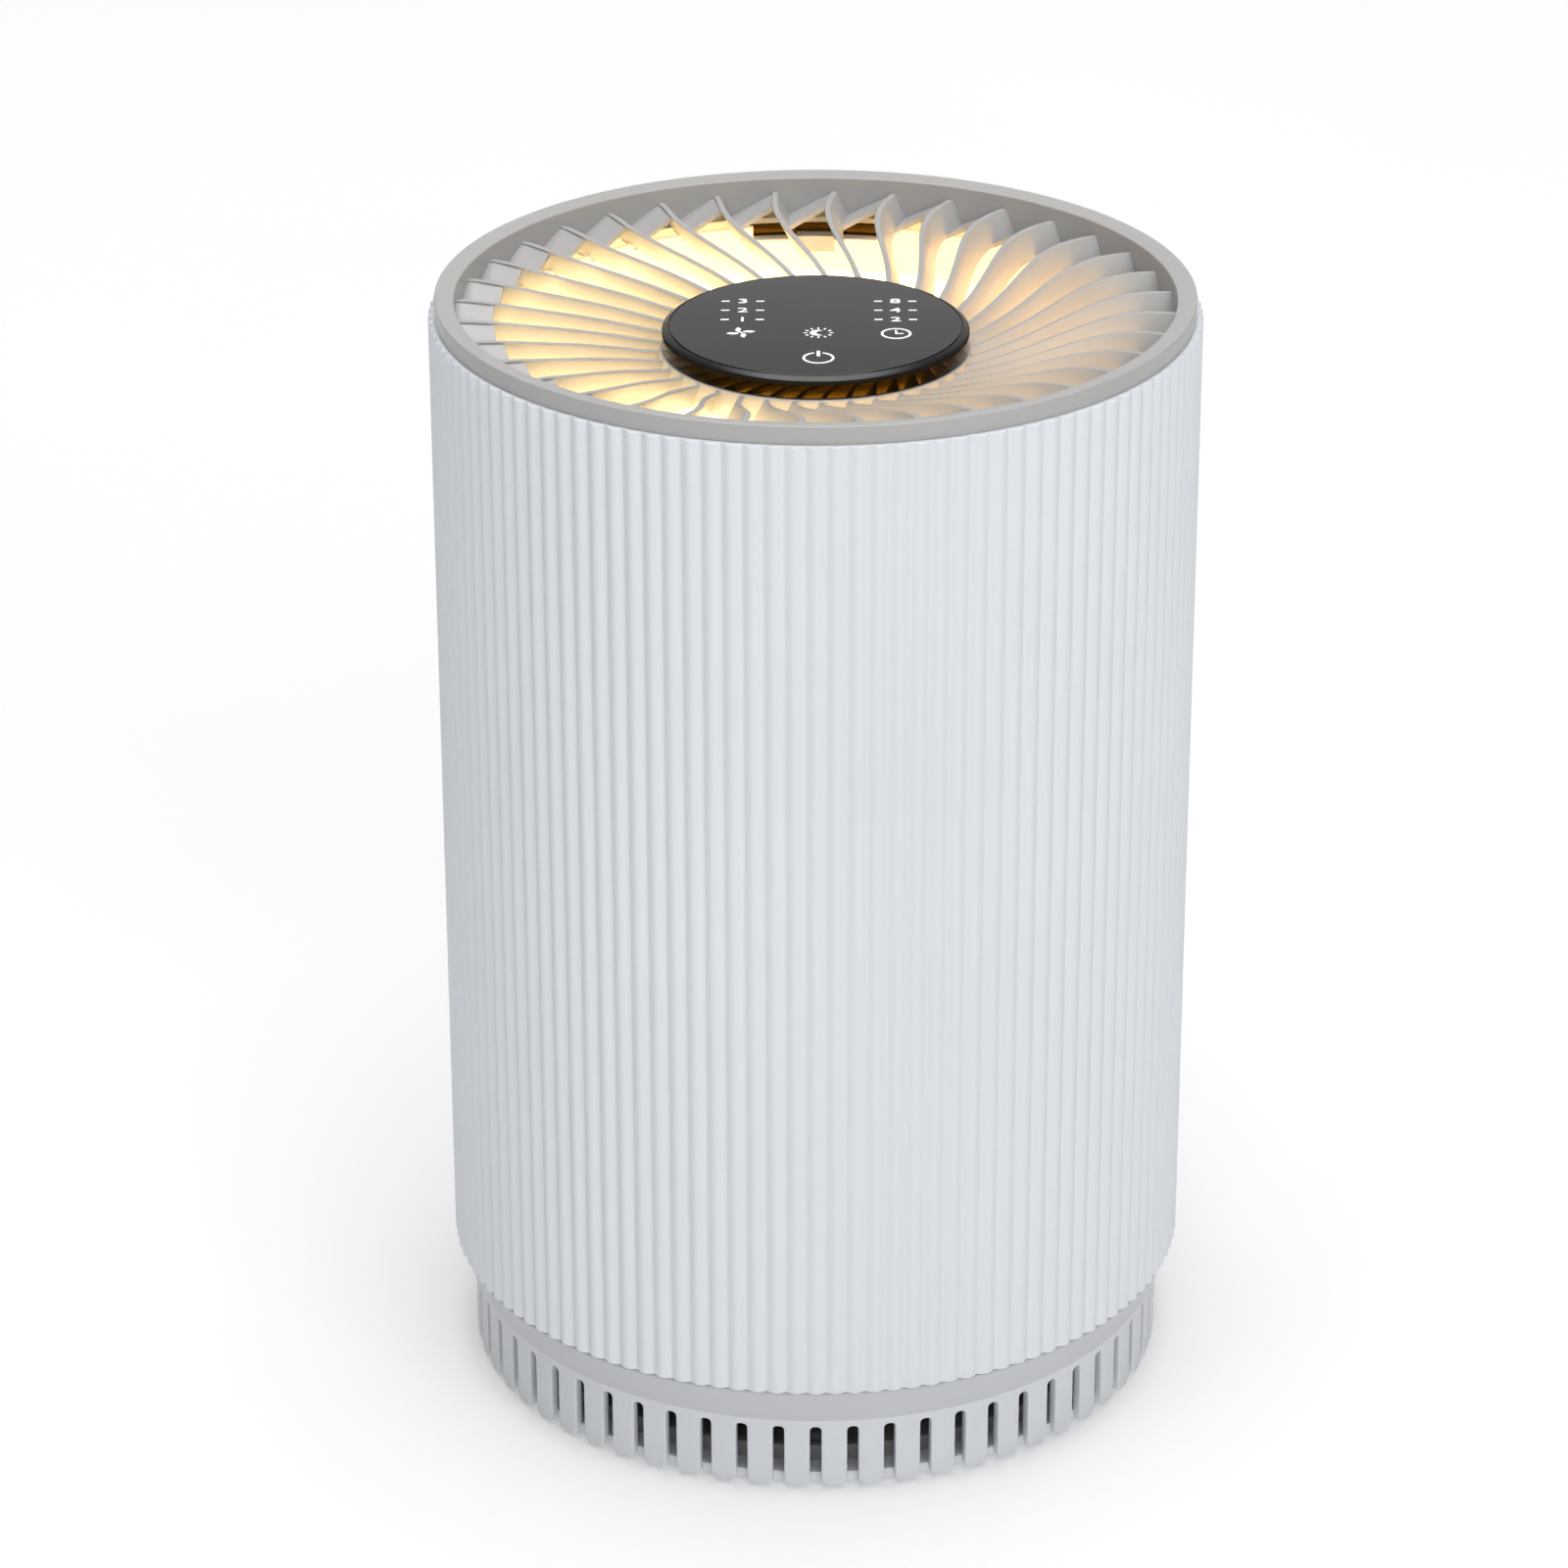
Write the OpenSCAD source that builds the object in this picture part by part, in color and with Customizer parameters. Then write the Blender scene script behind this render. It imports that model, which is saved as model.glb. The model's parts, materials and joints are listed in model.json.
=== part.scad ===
// Desktop air purifier: fluted round casing, slotted base ring, cartridge filter, upward blowing fan,
// lit outlet duct and a dished grille of swept vanes round a touch panel.
// Millimetres. +Z up, origin on the floor at the centre, front towards -Y.

/* [Casing] */
// Radius over the crests of the flutes
shell_r = 85; // [84.5:0.5:86]
// Height of the foot of the fluted shell
shell_foot = 27.5; // [27.4:0.1:28]
// Height of the top edge of the fluted shell
shell_top = 253.2; // [252:0.2:254]
// Number of flutes
flutes = 120; // [90:10:130]
// Depth of a flute
flute_depth = 0.8; // [0.4:0.1:1]

/* [Grille] */
// Height of the outer edge of the rim
rim_top = 257.4; // [256.8:0.2:258]
// Number of swept vanes
vanes = 36; // [24:2:40]
// Thickness of a vane
vane_t = 1.3; // [1:0.1:1.6]
// Height of the vane tips at the rim
vane_tip_z = 253.5; // [252:0.5:255]
// Height of the vane roots at the hub
vane_root_z = 244.4; // [243:0.2:244.4]

/* [Touch panel] */
// Radius of the touch panel
panel_r = 33.8; // [33:0.2:34]
// Height of the top of the touch panel
panel_top = 249.4; // [249:0.1:251]

/* [Base] */
// Radius of the slotted ring
base_r = 80.4; // [80:0.2:81]
// Number of air slots
slots = 60; // [48:2:64]
// Width of an air slot
slot_w = 2.6; // [2:0.1:3]
// Height of the top of an air slot
slot_top = 16.4; // [14:0.2:17]
// Twist that locks the casing to the base, in degrees
lock_turn = 18; // [17:1:18]

/* [Filter] */
// Radius of the filter end caps
filter_r = 67.5; // [66.8:0.1:67.8]
// Number of pleats
pleats = 72; // [48:4:90]

/* [Fan] */
// Radius of the impeller
impeller_r = 60; // [56:1:64]
// Number of impeller blades
blades = 11; // [7:2:13]
// Radius of the motor shaft
shaft_r = 2; // [1.8:0.1:2.1]

/* [Hidden] */

$fn = 96;
eps = 0.01;
gap = 0.3;              // air left between bodies that move past each other
fit = 0.04;             // air left between parts pushed into each other

// Screws as [shank radius, head radius, head height], with their through and pilot holes
big_screw = [1.4, 2.6, 1.8];
big_hole = 1.7;
big_pilot = 1.5;
small_screw = [1.1, 2, 1.2];
small_hole = 1.3;
small_pilot = 1.2;
head_space = 1.3;       // depth of a pocket for a small head

// Base
tooth_foot = 1;
tooth_in = base_r - 4.6;
crease = 18;
band_r = 84.2;
deck_z = shell_foot - gap;
collar_r = 78;
collar_top = 34;
lug_r = 80.2;
lug_z = collar_top - 3;
lug_angle = 12;
lugs = 3;
lug_start = 30;
ledge_r = tooth_in + 0.4;
ledge_in = 60;
ledge_z = 1.2;
ledge_top = 3.7;
floor_r = 73.4;
floor_top = 5.7;
floor_rim_top = 7.6;
seat_r = 51;
seat_top = 8;
spigot_r = 40;
spigot_top = 11;
base_screw_at = 65.5;
base_screw = [1.4, 2.7, 1.2];
base_screw_top = 7.3;
foot_at = 68.5;
foot_r = 6.5;

// Filter
filter_z = seat_top + gap;
cap_low = 12.8;
cap_high = 144;
cap_lip = 3;
media_out = 65.6;
media_in = 46;
net_r = 66.2;
carbon_in = 43.2;
carbon_out = 45.4;
cap_top = 147;
seal_in = 52;
seal_out = 58;
seal_top = 150.5;

// Casing
shell_in = 82.4;
wall_out = 82.2;
wall_in = 80.6;
ring_in = collar_r + 0.4;
ring_low = shell_foot + 0.1;
ring_top = lug_z - gap;
gate_angle = lug_angle + 4;
wall_top = 247;
deck_low = seal_top + gap;
deck_top = deck_low + 2.5;
post_at = 76.9;
post_r = 3.5;
post_low = 142;
rear = 90;
inlet_z = 45;
inlet_in = 70;
inlet_out = 84;
inlet_w = 9;
jack_r = 4.4;
socket_r = 2.8;
pin_r = 1;
lead_r = 1.1;
lead_at = 79.2;
lead_top = 208;
lead_low = inlet_z + 8;
lead_exit = 76;
lead_end = 22;

// Fan duct, motor and light
duct_in = 72;
duct_out = 73.6;
flange_r = 79.5;
flange_t = 2;
duct_top = 196;
bracket_top = 211;
bracket_screw_start = 20;
mouth_r = 40;
mouth_top = 160;
guard_r = 48;
guard_low = deck_low - 2.5;
guard_bar = 1.6;
guard_rings = [12, 21, 30, 39];
pod_r = 38;
pod_floor = 197;
pod_floor_top = 199.5;
pod_top = 212;
tube_r = 7;
bearing_r = 5;
tube_low = 179.5;
board_z = 203;
board_top = 204.6;
board_r = 29;
boss_at = 32.5;
standoff_at = 24;
cover_top = 214;
light_z = 212.5;
light_top = 247.4;
reflector_in = 78.2;
reflector_out = 79.1;
window_w = 29;
window_z = 244.5;
led_z = 229;
led_count = 36;
led_w = 3.5;
clip_angle = 6.8;

// Touch panel
hub_in = 33.1;
hub_out = 34.4;
cup_in = 31.4;
cup_low = 228;
cup_floor = 230;
trim_low = 244.6;
trim_top = 247.6;
trim_r = 33.9;
pcb_r = 30.9;
pcb_low = 241.8;
pcb_top = 243.4;
pads = [[0.6, -21.3], [0.6, -5.5], [-16.4, -5.3], [17.6, -6]];
pad_r = 3.2;
sign_x = 16.9;          // the two groups of level lights lie this far left and right
sign_y = 3;
sign_step = 6;
sign_half = 3.85;

// Grille
rim_in = 79.2;
rim_out = 83.5;
rim_fall = 0.7;
web_in = 70.8;
web_low = 247.6;
web_top = 249.2;
vane_depth = 6.4;
vane_start = 7;         // angle of one vane tip, in degrees
// Control values of a vane's curve from the rim to the hub: how far it has swung round, in
// degrees, and the height of its top
sweep = [0, 0, 5.5, -6.5, -8.5, -15];
crest = [vane_tip_z, vane_tip_z + 0.9, vane_root_z + 2.6, vane_root_z - 0.8];

// Rotor
stator_r = 17.2;
stator_low = 183;
stator_top = 190;
stator_core = 9.5;
stator_shoe = 15.6;
poles = 9;
pole_w = 2.4;
coil_w = 5.6;
coil_over = 1.5;
magnet_low = 181;
magnet_top = 192;
magnet_in = 17.8;
cup_r_in = 19.5;
cup_r = 20.7;
cup_z = 176.5;
cup_top = 192.5;
hub_r = 22.4;
blade_low = 165;
blade_in = 37;
back_low = 191;
back_top = 193;
blade_t = 1.6;
blade_bend = 45;        // radius of the arc that a blade follows
blade_centre = [20, -38, 0];

// Helpers
module tube(z0, z1, ri, ro) {
    translate([0, 0, z0])
        difference() {
            cylinder(h = z1 - z0, r = ro);
            translate([0, 0, -1]) cylinder(h = z1 - z0 + 2, r = ri);
        }
}

module disc(z0, z1, r) {
    translate([0, 0, z0]) cylinder(h = z1 - z0, r = r);
}

module around(n, start = 0) {
    for (i = [0:n - 1])
        rotate([0, 0, start + i * 360 / n]) children();
}

module sector(z0, z1, ri, ro, angle) {
    rotate([0, 0, -angle / 2])
        rotate_extrude(angle = angle)
            translate([ri, z0]) square([ro - ri, z1 - z0]);
}

module block(x0, x1, w, z0, z1) {
    translate([x0, -w / 2, z0]) cube([x1 - x0, w, z1 - z0]);
}

// A pan head screw: its shank runs from z0 to z1 and its head lies past z1, or below z0 when it points up
module screw(z0, z1, size, up = false) {
    head = size[1];
    head_h = size[2];
    disc(z0, z1, size[0]);
    translate([0, 0, up ? z0 - head_h : z1])
        difference() {
            cylinder(h = head_h, r = head);
            translate([0, 0, up ? -1 : head_h * 0.45])
                cylinder(h = head_h * 0.55 + 1, r = head * 0.45, $fn = 6);
        }
}

// Ring of crests on radius ro and valleys on radius ri, for flutes and pleats
function zigzag(n, ro, ri) = [
    for (i = [0:2 * n - 1])
        let (r = i % 2 == 0 ? ro : ri, a = i * 180 / n)
        [r * cos(a), r * sin(a)]
];

// Outline of the fluted wall: each flute is a round crest between two sharp valleys
function fluted(n, r, depth) = [
    for (i = [0:n - 1], u = [0, 0.2, 0.5, 0.8])
        let (a = (i + u) * 360 / n, q = r - depth * pow(abs(2 * u - 1), 2))
        [q * cos(a), q * sin(a)]
];

// Value at share s of the smooth curve with control values c
function curve(c, s) =
    len(c) == 1 ? c[0] : curve([for (i = [1:len(c) - 1]) c[i - 1] * (1 - s) + c[i] * s], s);

function vane_edge(side) = [
    for (i = [0:12])
        let (r = rim_in + 0.6 - i * (rim_in + 0.6 - hub_out + 0.6) / 12)
        let (a = curve(sweep, max(0, (rim_in - r) / (rim_in - panel_r))))
        let (b = a + side * vane_t / 2 / r * 180 / PI)
        [r * cos(b), r * sin(b)]
];

function reversed(list) = [for (i = [len(list) - 1:-1:0]) list[i]];

// Base
module base_skirt() {
    color("gainsboro") {
        difference() {
            rotate_extrude()
                polygon([
                    [tooth_in, tooth_foot], [base_r, tooth_foot], [base_r, crease], [band_r, deck_z],
                    [collar_r, deck_z], [collar_r, collar_top], [tooth_in, collar_top],
                    [tooth_in, deck_z - 2.5], [band_r - 3.2, deck_z - 2.5],
                    [base_r - 1.8, crease + 1], [tooth_in, crease + 1]
                ]);
            around(slots, rear)
                slot_cut();
        }
        tube(ledge_z, ledge_top, base_screw_at + 3.5, ledge_r);
        difference() {
            tube(ledge_z, ledge_top, ledge_in, base_screw_at + 3.5 + eps);
            around(4)
                translate([base_screw_at, 0, 0]) {
                    disc(0, ledge_top + 1, big_hole);
                    disc(0, ledge_z + head_space, base_screw[1] + gap);
                }
        }
        around(lugs, lug_start)
            sector(lug_z, collar_top, collar_r - 0.5, lug_r, lug_angle);
    }
}

module slot_cut() {
    block(tooth_in - 1, base_r + 1, slot_w, 0, slot_top - slot_w / 2);
    translate([tooth_in - 1, 0, slot_top - slot_w / 2])
        rotate([0, 90, 0]) cylinder(h = base_r - tooth_in + 2, r = slot_w / 2);
}

module base_floor() {
    color("dimgray")
        difference() {
            union() {
                disc(ledge_top, floor_top, floor_r);
                tube(floor_top - eps, floor_rim_top, floor_r - 1.6, floor_r);
                tube(floor_top - eps, seat_top, seat_r - 1, seat_r + 1);
                tube(floor_top - eps, spigot_top, spigot_r - 2, spigot_r);
                around(4)
                    translate([base_screw_at, 0, 0]) disc(floor_top - eps, seat_top - 0.1, 3.2);
            }
            around(4)
                translate([base_screw_at, 0, 0]) disc(ledge_top - 1, seat_top - 0.5, big_pilot);
        }
}

module base_screws() {
    color("silver")
        around(4)
            translate([base_screw_at, 0, 0])
                screw(ledge_z + head_space, base_screw_top, base_screw, up = true);
}

module foot_pads() {
    color([0.16, 0.16, 0.17])
        around(4, 45)
            translate([foot_at, 0, 0]) disc(0, ledge_z, foot_r);
}

// Filter cartridge
module filter_bottom_cap() {
    color([0.9, 0.91, 0.92]) {
        difference() {
            disc(filter_z, cap_low, filter_r);
            disc(filter_z - 1, spigot_top + 0.5, spigot_r + 1);
        }
        tube(cap_low - eps, cap_low + cap_lip, net_r + fit, filter_r);
    }
}

module filter_media() {
    color([0.95, 0.95, 0.93])
        translate([0, 0, cap_low])
            linear_extrude(cap_high - cap_low)
                difference() {
                    polygon(zigzag(pleats, media_out, media_in + 2));
                    polygon(zigzag(pleats, media_out - 2, media_in));
                }
}

module carbon_sleeve() {
    color([0.2, 0.2, 0.2]) tube(cap_low, cap_high, carbon_in, carbon_out);
}

module prefilter_net() {
    color([0.8, 0.82, 0.84]) tube(cap_low, cap_high, net_r - 0.5, net_r);
}

module filter_top_cap() {
    color([0.9, 0.91, 0.92]) {
        difference() {
            tube(cap_high, cap_top, carbon_in - 1.6, filter_r);
            tube(cap_top - 1, cap_top + 1, seal_in, seal_out);
        }
        tube(cap_high - cap_lip, cap_high + eps, net_r + fit, filter_r);
        tube(cap_high - 5, cap_high + eps, carbon_in - 1.6, carbon_in - fit);
    }
}

module filter_seal() {
    color([0.25, 0.25, 0.26]) tube(cap_top - 1, seal_top, seal_in + fit, seal_out - fit);
}

// Casing
module outer_shell() {
    color([0.93, 0.94, 0.95])
        difference() {
            translate([0, 0, shell_foot])
                linear_extrude(shell_top - shell_foot) polygon(fluted(flutes, shell_r, flute_depth));
            translate([0, 0, shell_foot - 1])
                cylinder(h = shell_top - shell_foot + 2, r = shell_in, $fn = 6 * flutes);
            rotate([0, 0, rear])
                translate([shell_in - 3, 0, inlet_z]) rotate([0, 90, 0]) cylinder(h = 10, r = jack_r + 1.2);
        }
}

module inner_housing() {
    color([0.86, 0.87, 0.88])
        difference() {
            union() {
                tube(ring_low, wall_top, wall_in, wall_out);
                around(lugs, lug_start + 180 / lugs)
                    sector(ring_low, ring_top, ring_in, wall_in + 0.5, 360 / lugs - gate_angle);
                around(lugs, lug_start - lock_turn - gate_angle / 2)
                    sector(ring_top - 0.5, collar_top - 0.6, ring_in + 0.2, wall_in + 0.5, 2.4);
                around(4, 45) {
                    translate([post_at, 0, 0]) disc(post_low, deck_low, post_r);
                    block(post_at, wall_in + 0.6, 5, post_low, deck_low);
                }
            }
            around(4, 45)
                translate([post_at, 0, 0]) disc(post_low + 0.6, deck_low + 1, big_pilot);
            rotate([0, 0, rear])
                translate([wall_in - 4, 0, inlet_z]) rotate([0, 90, 0]) cylinder(h = 10, r = jack_r + 0.2);
        }
}

module dc_inlet() {
    color([0.12, 0.12, 0.13])
        rotate([0, 0, rear]) {
            difference() {
                union() {
                    block(inlet_in, wall_in - 0.6, inlet_w, inlet_z - inlet_w / 2, inlet_z + inlet_w / 2);
                    translate([wall_in - 1, 0, inlet_z])
                        rotate([0, 90, 0]) cylinder(h = inlet_out - wall_in + 1, r = jack_r);
                }
                translate([inlet_in + 4.5, 0, inlet_z]) rotate([0, 90, 0]) cylinder(h = 12, r = socket_r);
            }
            translate([inlet_in + 4, 0, inlet_z]) rotate([0, 90, 0]) cylinder(h = 9, r = pin_r);
        }
}

module power_lead() {
    color([0.1, 0.1, 0.11])
        rotate([0, 0, rear]) {
            translate([lead_at, 0, lead_low]) cylinder(h = lead_top - lead_low, r = lead_r);
            translate([lead_at, 0, lead_low]) sphere(r = lead_r);
            translate([lead_exit, 0, lead_low])
                rotate([0, 90, 0]) cylinder(h = lead_at - lead_exit, r = lead_r);
            translate([lead_exit, 0, lead_low]) sphere(r = lead_r);
            translate([lead_exit, 0, inlet_z + inlet_w / 2])
                cylinder(h = lead_low - inlet_z - inlet_w / 2, r = lead_r);
            translate([lead_at, 0, lead_top]) sphere(r = lead_r);
            translate([lead_end, 0, lead_top])
                rotate([0, 90, 0]) cylinder(h = lead_at - lead_end, r = lead_r);
        }
}

// Notch in the rim of a round part that lets the power lead past
module lead_notch(z0, z1) {
    rotate([0, 0, rear]) block(lead_at - lead_r - 0.3, wall_in + 1, 3, z0, z1);
}

module fan_deck() {
    color([0.8, 0.81, 0.82])
        difference() {
            union() {
                tube(deck_low, deck_top, mouth_r, wall_in - 0.2);
                rotate_extrude()
                    polygon([
                        [mouth_r, deck_low], [mouth_r + 4, deck_low], [mouth_r + 1.6, deck_top + 2],
                        [mouth_r + 1.6, mouth_top], [mouth_r, mouth_top]
                    ]);
            }
            around(4, 45)
                translate([post_at, 0, 0]) disc(deck_low - 1, deck_top + 1, big_hole);
            around(3, 30)
                translate([guard_r, 0, 0]) disc(deck_low - 1, deck_top - 0.2, small_pilot);
            lead_notch(deck_low - 1, deck_top + 1);
        }
}

module deck_screws() {
    color("silver")
        around(4, 45)
            translate([post_at, 0, 0]) screw(deck_low - 7, deck_top + flange_t, big_screw);
}

module fan_guard() {
    color([0.15, 0.15, 0.16])
        difference() {
            union() {
                for (r = guard_rings)
                    tube(guard_low, deck_low, r - guard_bar / 2, r + guard_bar / 2);
                tube(guard_low, deck_low, guard_r - 2.5, guard_r - 0.5);
                disc(guard_low, deck_low, 4);
                around(6, 30)
                    block(3, guard_r - 1, guard_bar, guard_low, deck_low);
                around(3, 30)
                    translate([guard_r, 0, 0]) disc(guard_low, deck_low, 3);
            }
            around(3, 30)
                translate([guard_r, 0, 0]) {
                    disc(guard_low - 1, deck_low + 1, small_hole);
                    disc(guard_low - 1, guard_low + head_space, small_screw[1] + 0.1);
                }
        }
}

module guard_screws() {
    color("silver")
        around(3, 30)
            translate([guard_r, 0, 0])
                screw(guard_low + head_space, deck_top - 0.4, small_screw, up = true);
}

module fan_duct() {
    color([0.84, 0.85, 0.86])
        difference() {
            union() {
                tube(deck_top, duct_top, duct_in, duct_out);
                tube(deck_top, deck_top + flange_t, duct_in, flange_r);
                tube(duct_top - flange_t, duct_top, duct_in, flange_r);
                around(4, bracket_screw_start)
                    translate([post_at, 0, 0]) disc(duct_top - 9, duct_top - flange_t + eps, 2.6);
                around(8, 22.5 + 45 / 4)
                    block(duct_in + 1, flange_r - 1, 1.4, deck_top + flange_t - eps, deck_top + 12);
            }
            around(4, 45)
                translate([post_at, 0, 0]) disc(deck_top - 1, deck_top + flange_t + 1, big_hole);
            around(4, bracket_screw_start)
                translate([post_at, 0, 0]) disc(duct_top - 8, duct_top + 1, big_pilot);
            lead_notch(deck_top - 1, duct_top + 1);
        }
}

module motor_bracket() {
    color([0.84, 0.85, 0.86])
        difference() {
            union() {
                tube(duct_top, bracket_top, duct_in, duct_out);
                tube(duct_top, duct_top + flange_t, duct_in, flange_r);
                around(7, 12)
                    block(pod_r - 1, duct_in + 0.5, 2.2, pod_floor_top, bracket_top - 2);
                tube(pod_floor, pod_floor_top, bearing_r, pod_r);
                tube(pod_floor, pod_top, pod_r - 2, pod_r);
                tube(tube_low, pod_floor_top, bearing_r, tube_r);
                around(3, 30)
                    translate([standoff_at, 0, 0]) disc(pod_floor, board_z, 2.5);
                around(3, 0)
                    translate([boss_at, 0, 0]) disc(pod_floor, pod_top, 3);
            }
            around(3, 30)
                translate([standoff_at, 0, 0]) disc(pod_floor_top, board_z + 1, small_pilot);
            around(3, 0)
                translate([boss_at, 0, 0]) disc(pod_floor_top + 4, pod_top + 1, small_pilot);
            around(4, bracket_screw_start)
                translate([post_at, 0, 0]) disc(duct_top - 1, duct_top + flange_t + 1, big_hole);
            lead_notch(duct_top - 1, duct_top + flange_t + 1);
            rotate([0, 0, rear])
                translate([pod_r - 4, 0, lead_top])
                    rotate([0, 90, 0]) cylinder(h = duct_out - pod_r + 6, r = lead_r + 0.3);
        }
}

module bracket_screws() {
    color("silver")
        around(4, bracket_screw_start)
            translate([post_at, 0, 0]) screw(duct_top - 7, duct_top + flange_t, big_screw);
}

module lower_bearing() {
    color("silver") tube(tube_low + 0.5, tube_low + 4.5, shaft_r + fit, bearing_r);
}

module upper_bearing() {
    color("silver") tube(pod_floor - 4, pod_floor, shaft_r + fit, bearing_r);
}

module motor_stator() {
    color([0.45, 0.46, 0.48]) {
        tube(stator_low, stator_top, tube_r, stator_core);
        around(poles)
            block(stator_core - 0.5, stator_shoe + 0.4, pole_w, stator_low, stator_top);
        around(poles)
            sector(stator_low, stator_top, stator_shoe, stator_r, 30);
    }
}

module motor_windings() {
    color([0.72, 0.42, 0.18])
        around(poles)
            difference() {
                block(stator_core + 0.7, stator_shoe - 0.4, coil_w,
                    stator_low - coil_over, stator_top + coil_over);
                block(stator_core, stator_shoe, pole_w, stator_low, stator_top);
            }
}

module motor_board() {
    color([0.1, 0.35, 0.2])
        difference() {
            tube(board_z, board_top, tube_r + 0.5, board_r);
            around(3, 30)
                translate([standoff_at, 0, 0]) disc(board_z - 1, board_top + 1, small_hole);
        }
}

module board_parts() {
    color([0.2, 0.2, 0.22]) {
        rotate([0, 0, rear]) block(14, 22, 8, board_top, lead_top + 2);
        rotate([0, 0, 200]) block(12, 20, 7, board_top, board_top + 2);
        rotate([0, 0, 320]) block(10, 15, 8, board_top, board_top + 4.5);
        for (a = [235, 255, 350])
            rotate([0, 0, a]) translate([23, 0, 0]) disc(board_top, board_top + 6, 2.5);
    }
}

module board_screws() {
    color("silver")
        around(3, 30)
            translate([standoff_at, 0, 0]) screw(pod_floor_top + 0.5, board_top, small_screw);
}

module motor_cover() {
    color([0.9, 0.9, 0.9])
        difference() {
            union() {
                disc(pod_top, cover_top, pod_r);
                rotate_extrude()
                    polygon([
                        [4, cover_top - eps], [22, cover_top - eps], [12, cover_top + 3], [7, cover_top + 8],
                        [7, cup_low], [4, cup_low]
                    ]);
            }
            disc(pod_top - 1, cup_low + 1, 4.6);
            around(3, 0)
                translate([boss_at, 0, 0]) disc(pod_top - 1, cover_top + 1, small_hole);
        }
}

module cover_screws() {
    color("silver")
        around(3, 0)
            translate([boss_at, 0, 0]) screw(pod_floor_top + 5, cover_top, small_screw);
}

// Light
module light_reflector() {
    color("white") {
        tube(bracket_top, light_z, duct_in, reflector_out);
        tube(light_z - eps, light_top, reflector_in, reflector_out);
    }
}

module led_strip() {
    color([0.85, 0.8, 0.6]) tube(led_z - 4, led_z + 4, reflector_in - 0.4, reflector_in);
}

module leds() {
    color([1, 0.9, 0.6])
        around(led_count)
            block(reflector_in - 1.6, reflector_in - 0.43, led_w, led_z - led_w / 2, led_z + led_w / 2);
}

module light_diffuser() {
    color([1, 0.93, 0.78])
        difference() {
            tube(light_z, light_top, duct_in, duct_out);
            rotate([0, 0, rear]) block(duct_in - 4, duct_out + 2, window_w, window_z, light_top + 1);
        }
}

module liner_clip() {
    color([0.75, 0.75, 0.76])
        rotate([0, 0, rear]) {
            sector(window_z, window_z + 0.8, duct_in - 1.2, duct_out + 1.4, clip_angle);
            sector(window_z - 2.9, window_z + eps, duct_in - 1.2, duct_in, clip_angle);
            sector(window_z - 4.5, window_z + eps, duct_out, duct_out + 1.4, clip_angle);
        }
}

// Grille
module top_grille() {
    color([0.83, 0.82, 0.81]) {
        rotate_extrude()
            polygon([
                [rim_in, wall_top], [wall_out, wall_top], [wall_out, shell_top], [rim_out, shell_top],
                [rim_out, rim_top - 0.3], [rim_out - 0.4, rim_top],
                [rim_in + 0.3, rim_top - rim_fall], [rim_in, rim_top - rim_fall - 0.3]
            ]);
        rotate_extrude()
            polygon([
                [web_in, web_low], [rim_in + 0.5, web_low], [rim_in + 0.5, web_top], [web_in, web_top]
            ]);
        tube(vane_root_z - vane_depth, vane_root_z, hub_in, hub_out);
        intersection() {
            translate([0, 0, vane_root_z - vane_depth - 1])
                linear_extrude(vane_depth + vane_tip_z - vane_root_z + 2)
                    around(vanes, vane_start)
                        polygon(concat(vane_edge(-1), reversed(vane_edge(1))));
            rotate_extrude()
                polygon(concat(
                    [
                        [hub_out - 0.8, vane_root_z - vane_depth],
                        [web_in, vane_tip_z - vane_depth - 0.6],
                        [web_in, web_low],
                        [rim_in + 0.7, web_low],
                        [rim_in + 0.7, vane_tip_z],
                        [rim_in, vane_tip_z]
                    ],
                    [for (s = [0.2:0.2:1]) [rim_in - s * (rim_in - hub_out + 0.8), curve(crest, s)]]
                ));
        }
    }
}

// Touch panel
module panel_housing() {
    color([0.93, 0.92, 0.9])
        difference() {
            union() {
                tube(cup_low, trim_low, cup_in, hub_in);
                tube(cup_low, cup_floor, 4.6, cup_in + eps);
                around(4, 45)
                    translate([26, 0, 0]) disc(cup_floor - eps, pcb_low, 2.2);
            }
            tube(cup_low - 1, cup_low + 0.8, 15, 28);
        }
}

module panel_trim() {
    color([0.3, 0.2, 0.08])
        rotate_extrude()
            polygon([
                [cup_in, trim_low], [trim_r - 0.3, trim_low], [trim_r, trim_low + 0.3],
                [trim_r, trim_top], [cup_in, trim_top]
            ]);
}

module touch_panel() {
    fillet = 1.2;
    color([0.12, 0.12, 0.13])
        rotate_extrude()
            union() {
                translate([0, trim_top]) square([panel_r - fillet, panel_top - trim_top]);
                translate([0, trim_top]) square([panel_r, panel_top - trim_top - fillet]);
                translate([panel_r - fillet, panel_top - fillet])
                    intersection() {
                        circle(r = fillet);
                        square(fillet);
                    }
            }
}

module control_board() {
    color([0.1, 0.3, 0.18]) disc(pcb_low, pcb_top, pcb_r);
}

module touch_pads() {
    color([0.3, 0.3, 0.32])
        for (p = pads)
            translate([p[0], p[1], 0]) disc(pcb_top, trim_top, pad_r);
}

module indicator_leds() {
    color("white")
        for (side = [-1, 1], row = [0:2], half = [-1, 1])
            translate([side * sign_x + half * sign_half, sign_y + row * sign_step, pcb_top])
                translate([-0.8, -0.4, 0]) cube([1.6, 0.8, 0.8]);
}

module panel_cable() {
    color([0.1, 0.1, 0.11]) {
        disc(board_top + 0.6, pcb_low, 1.5);
        rotate([0, 0, 320])
            translate([0, 0, board_top + 2.4]) rotate([0, 90, 0]) cylinder(h = 10, r = 1.4);
    }
}

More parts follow.
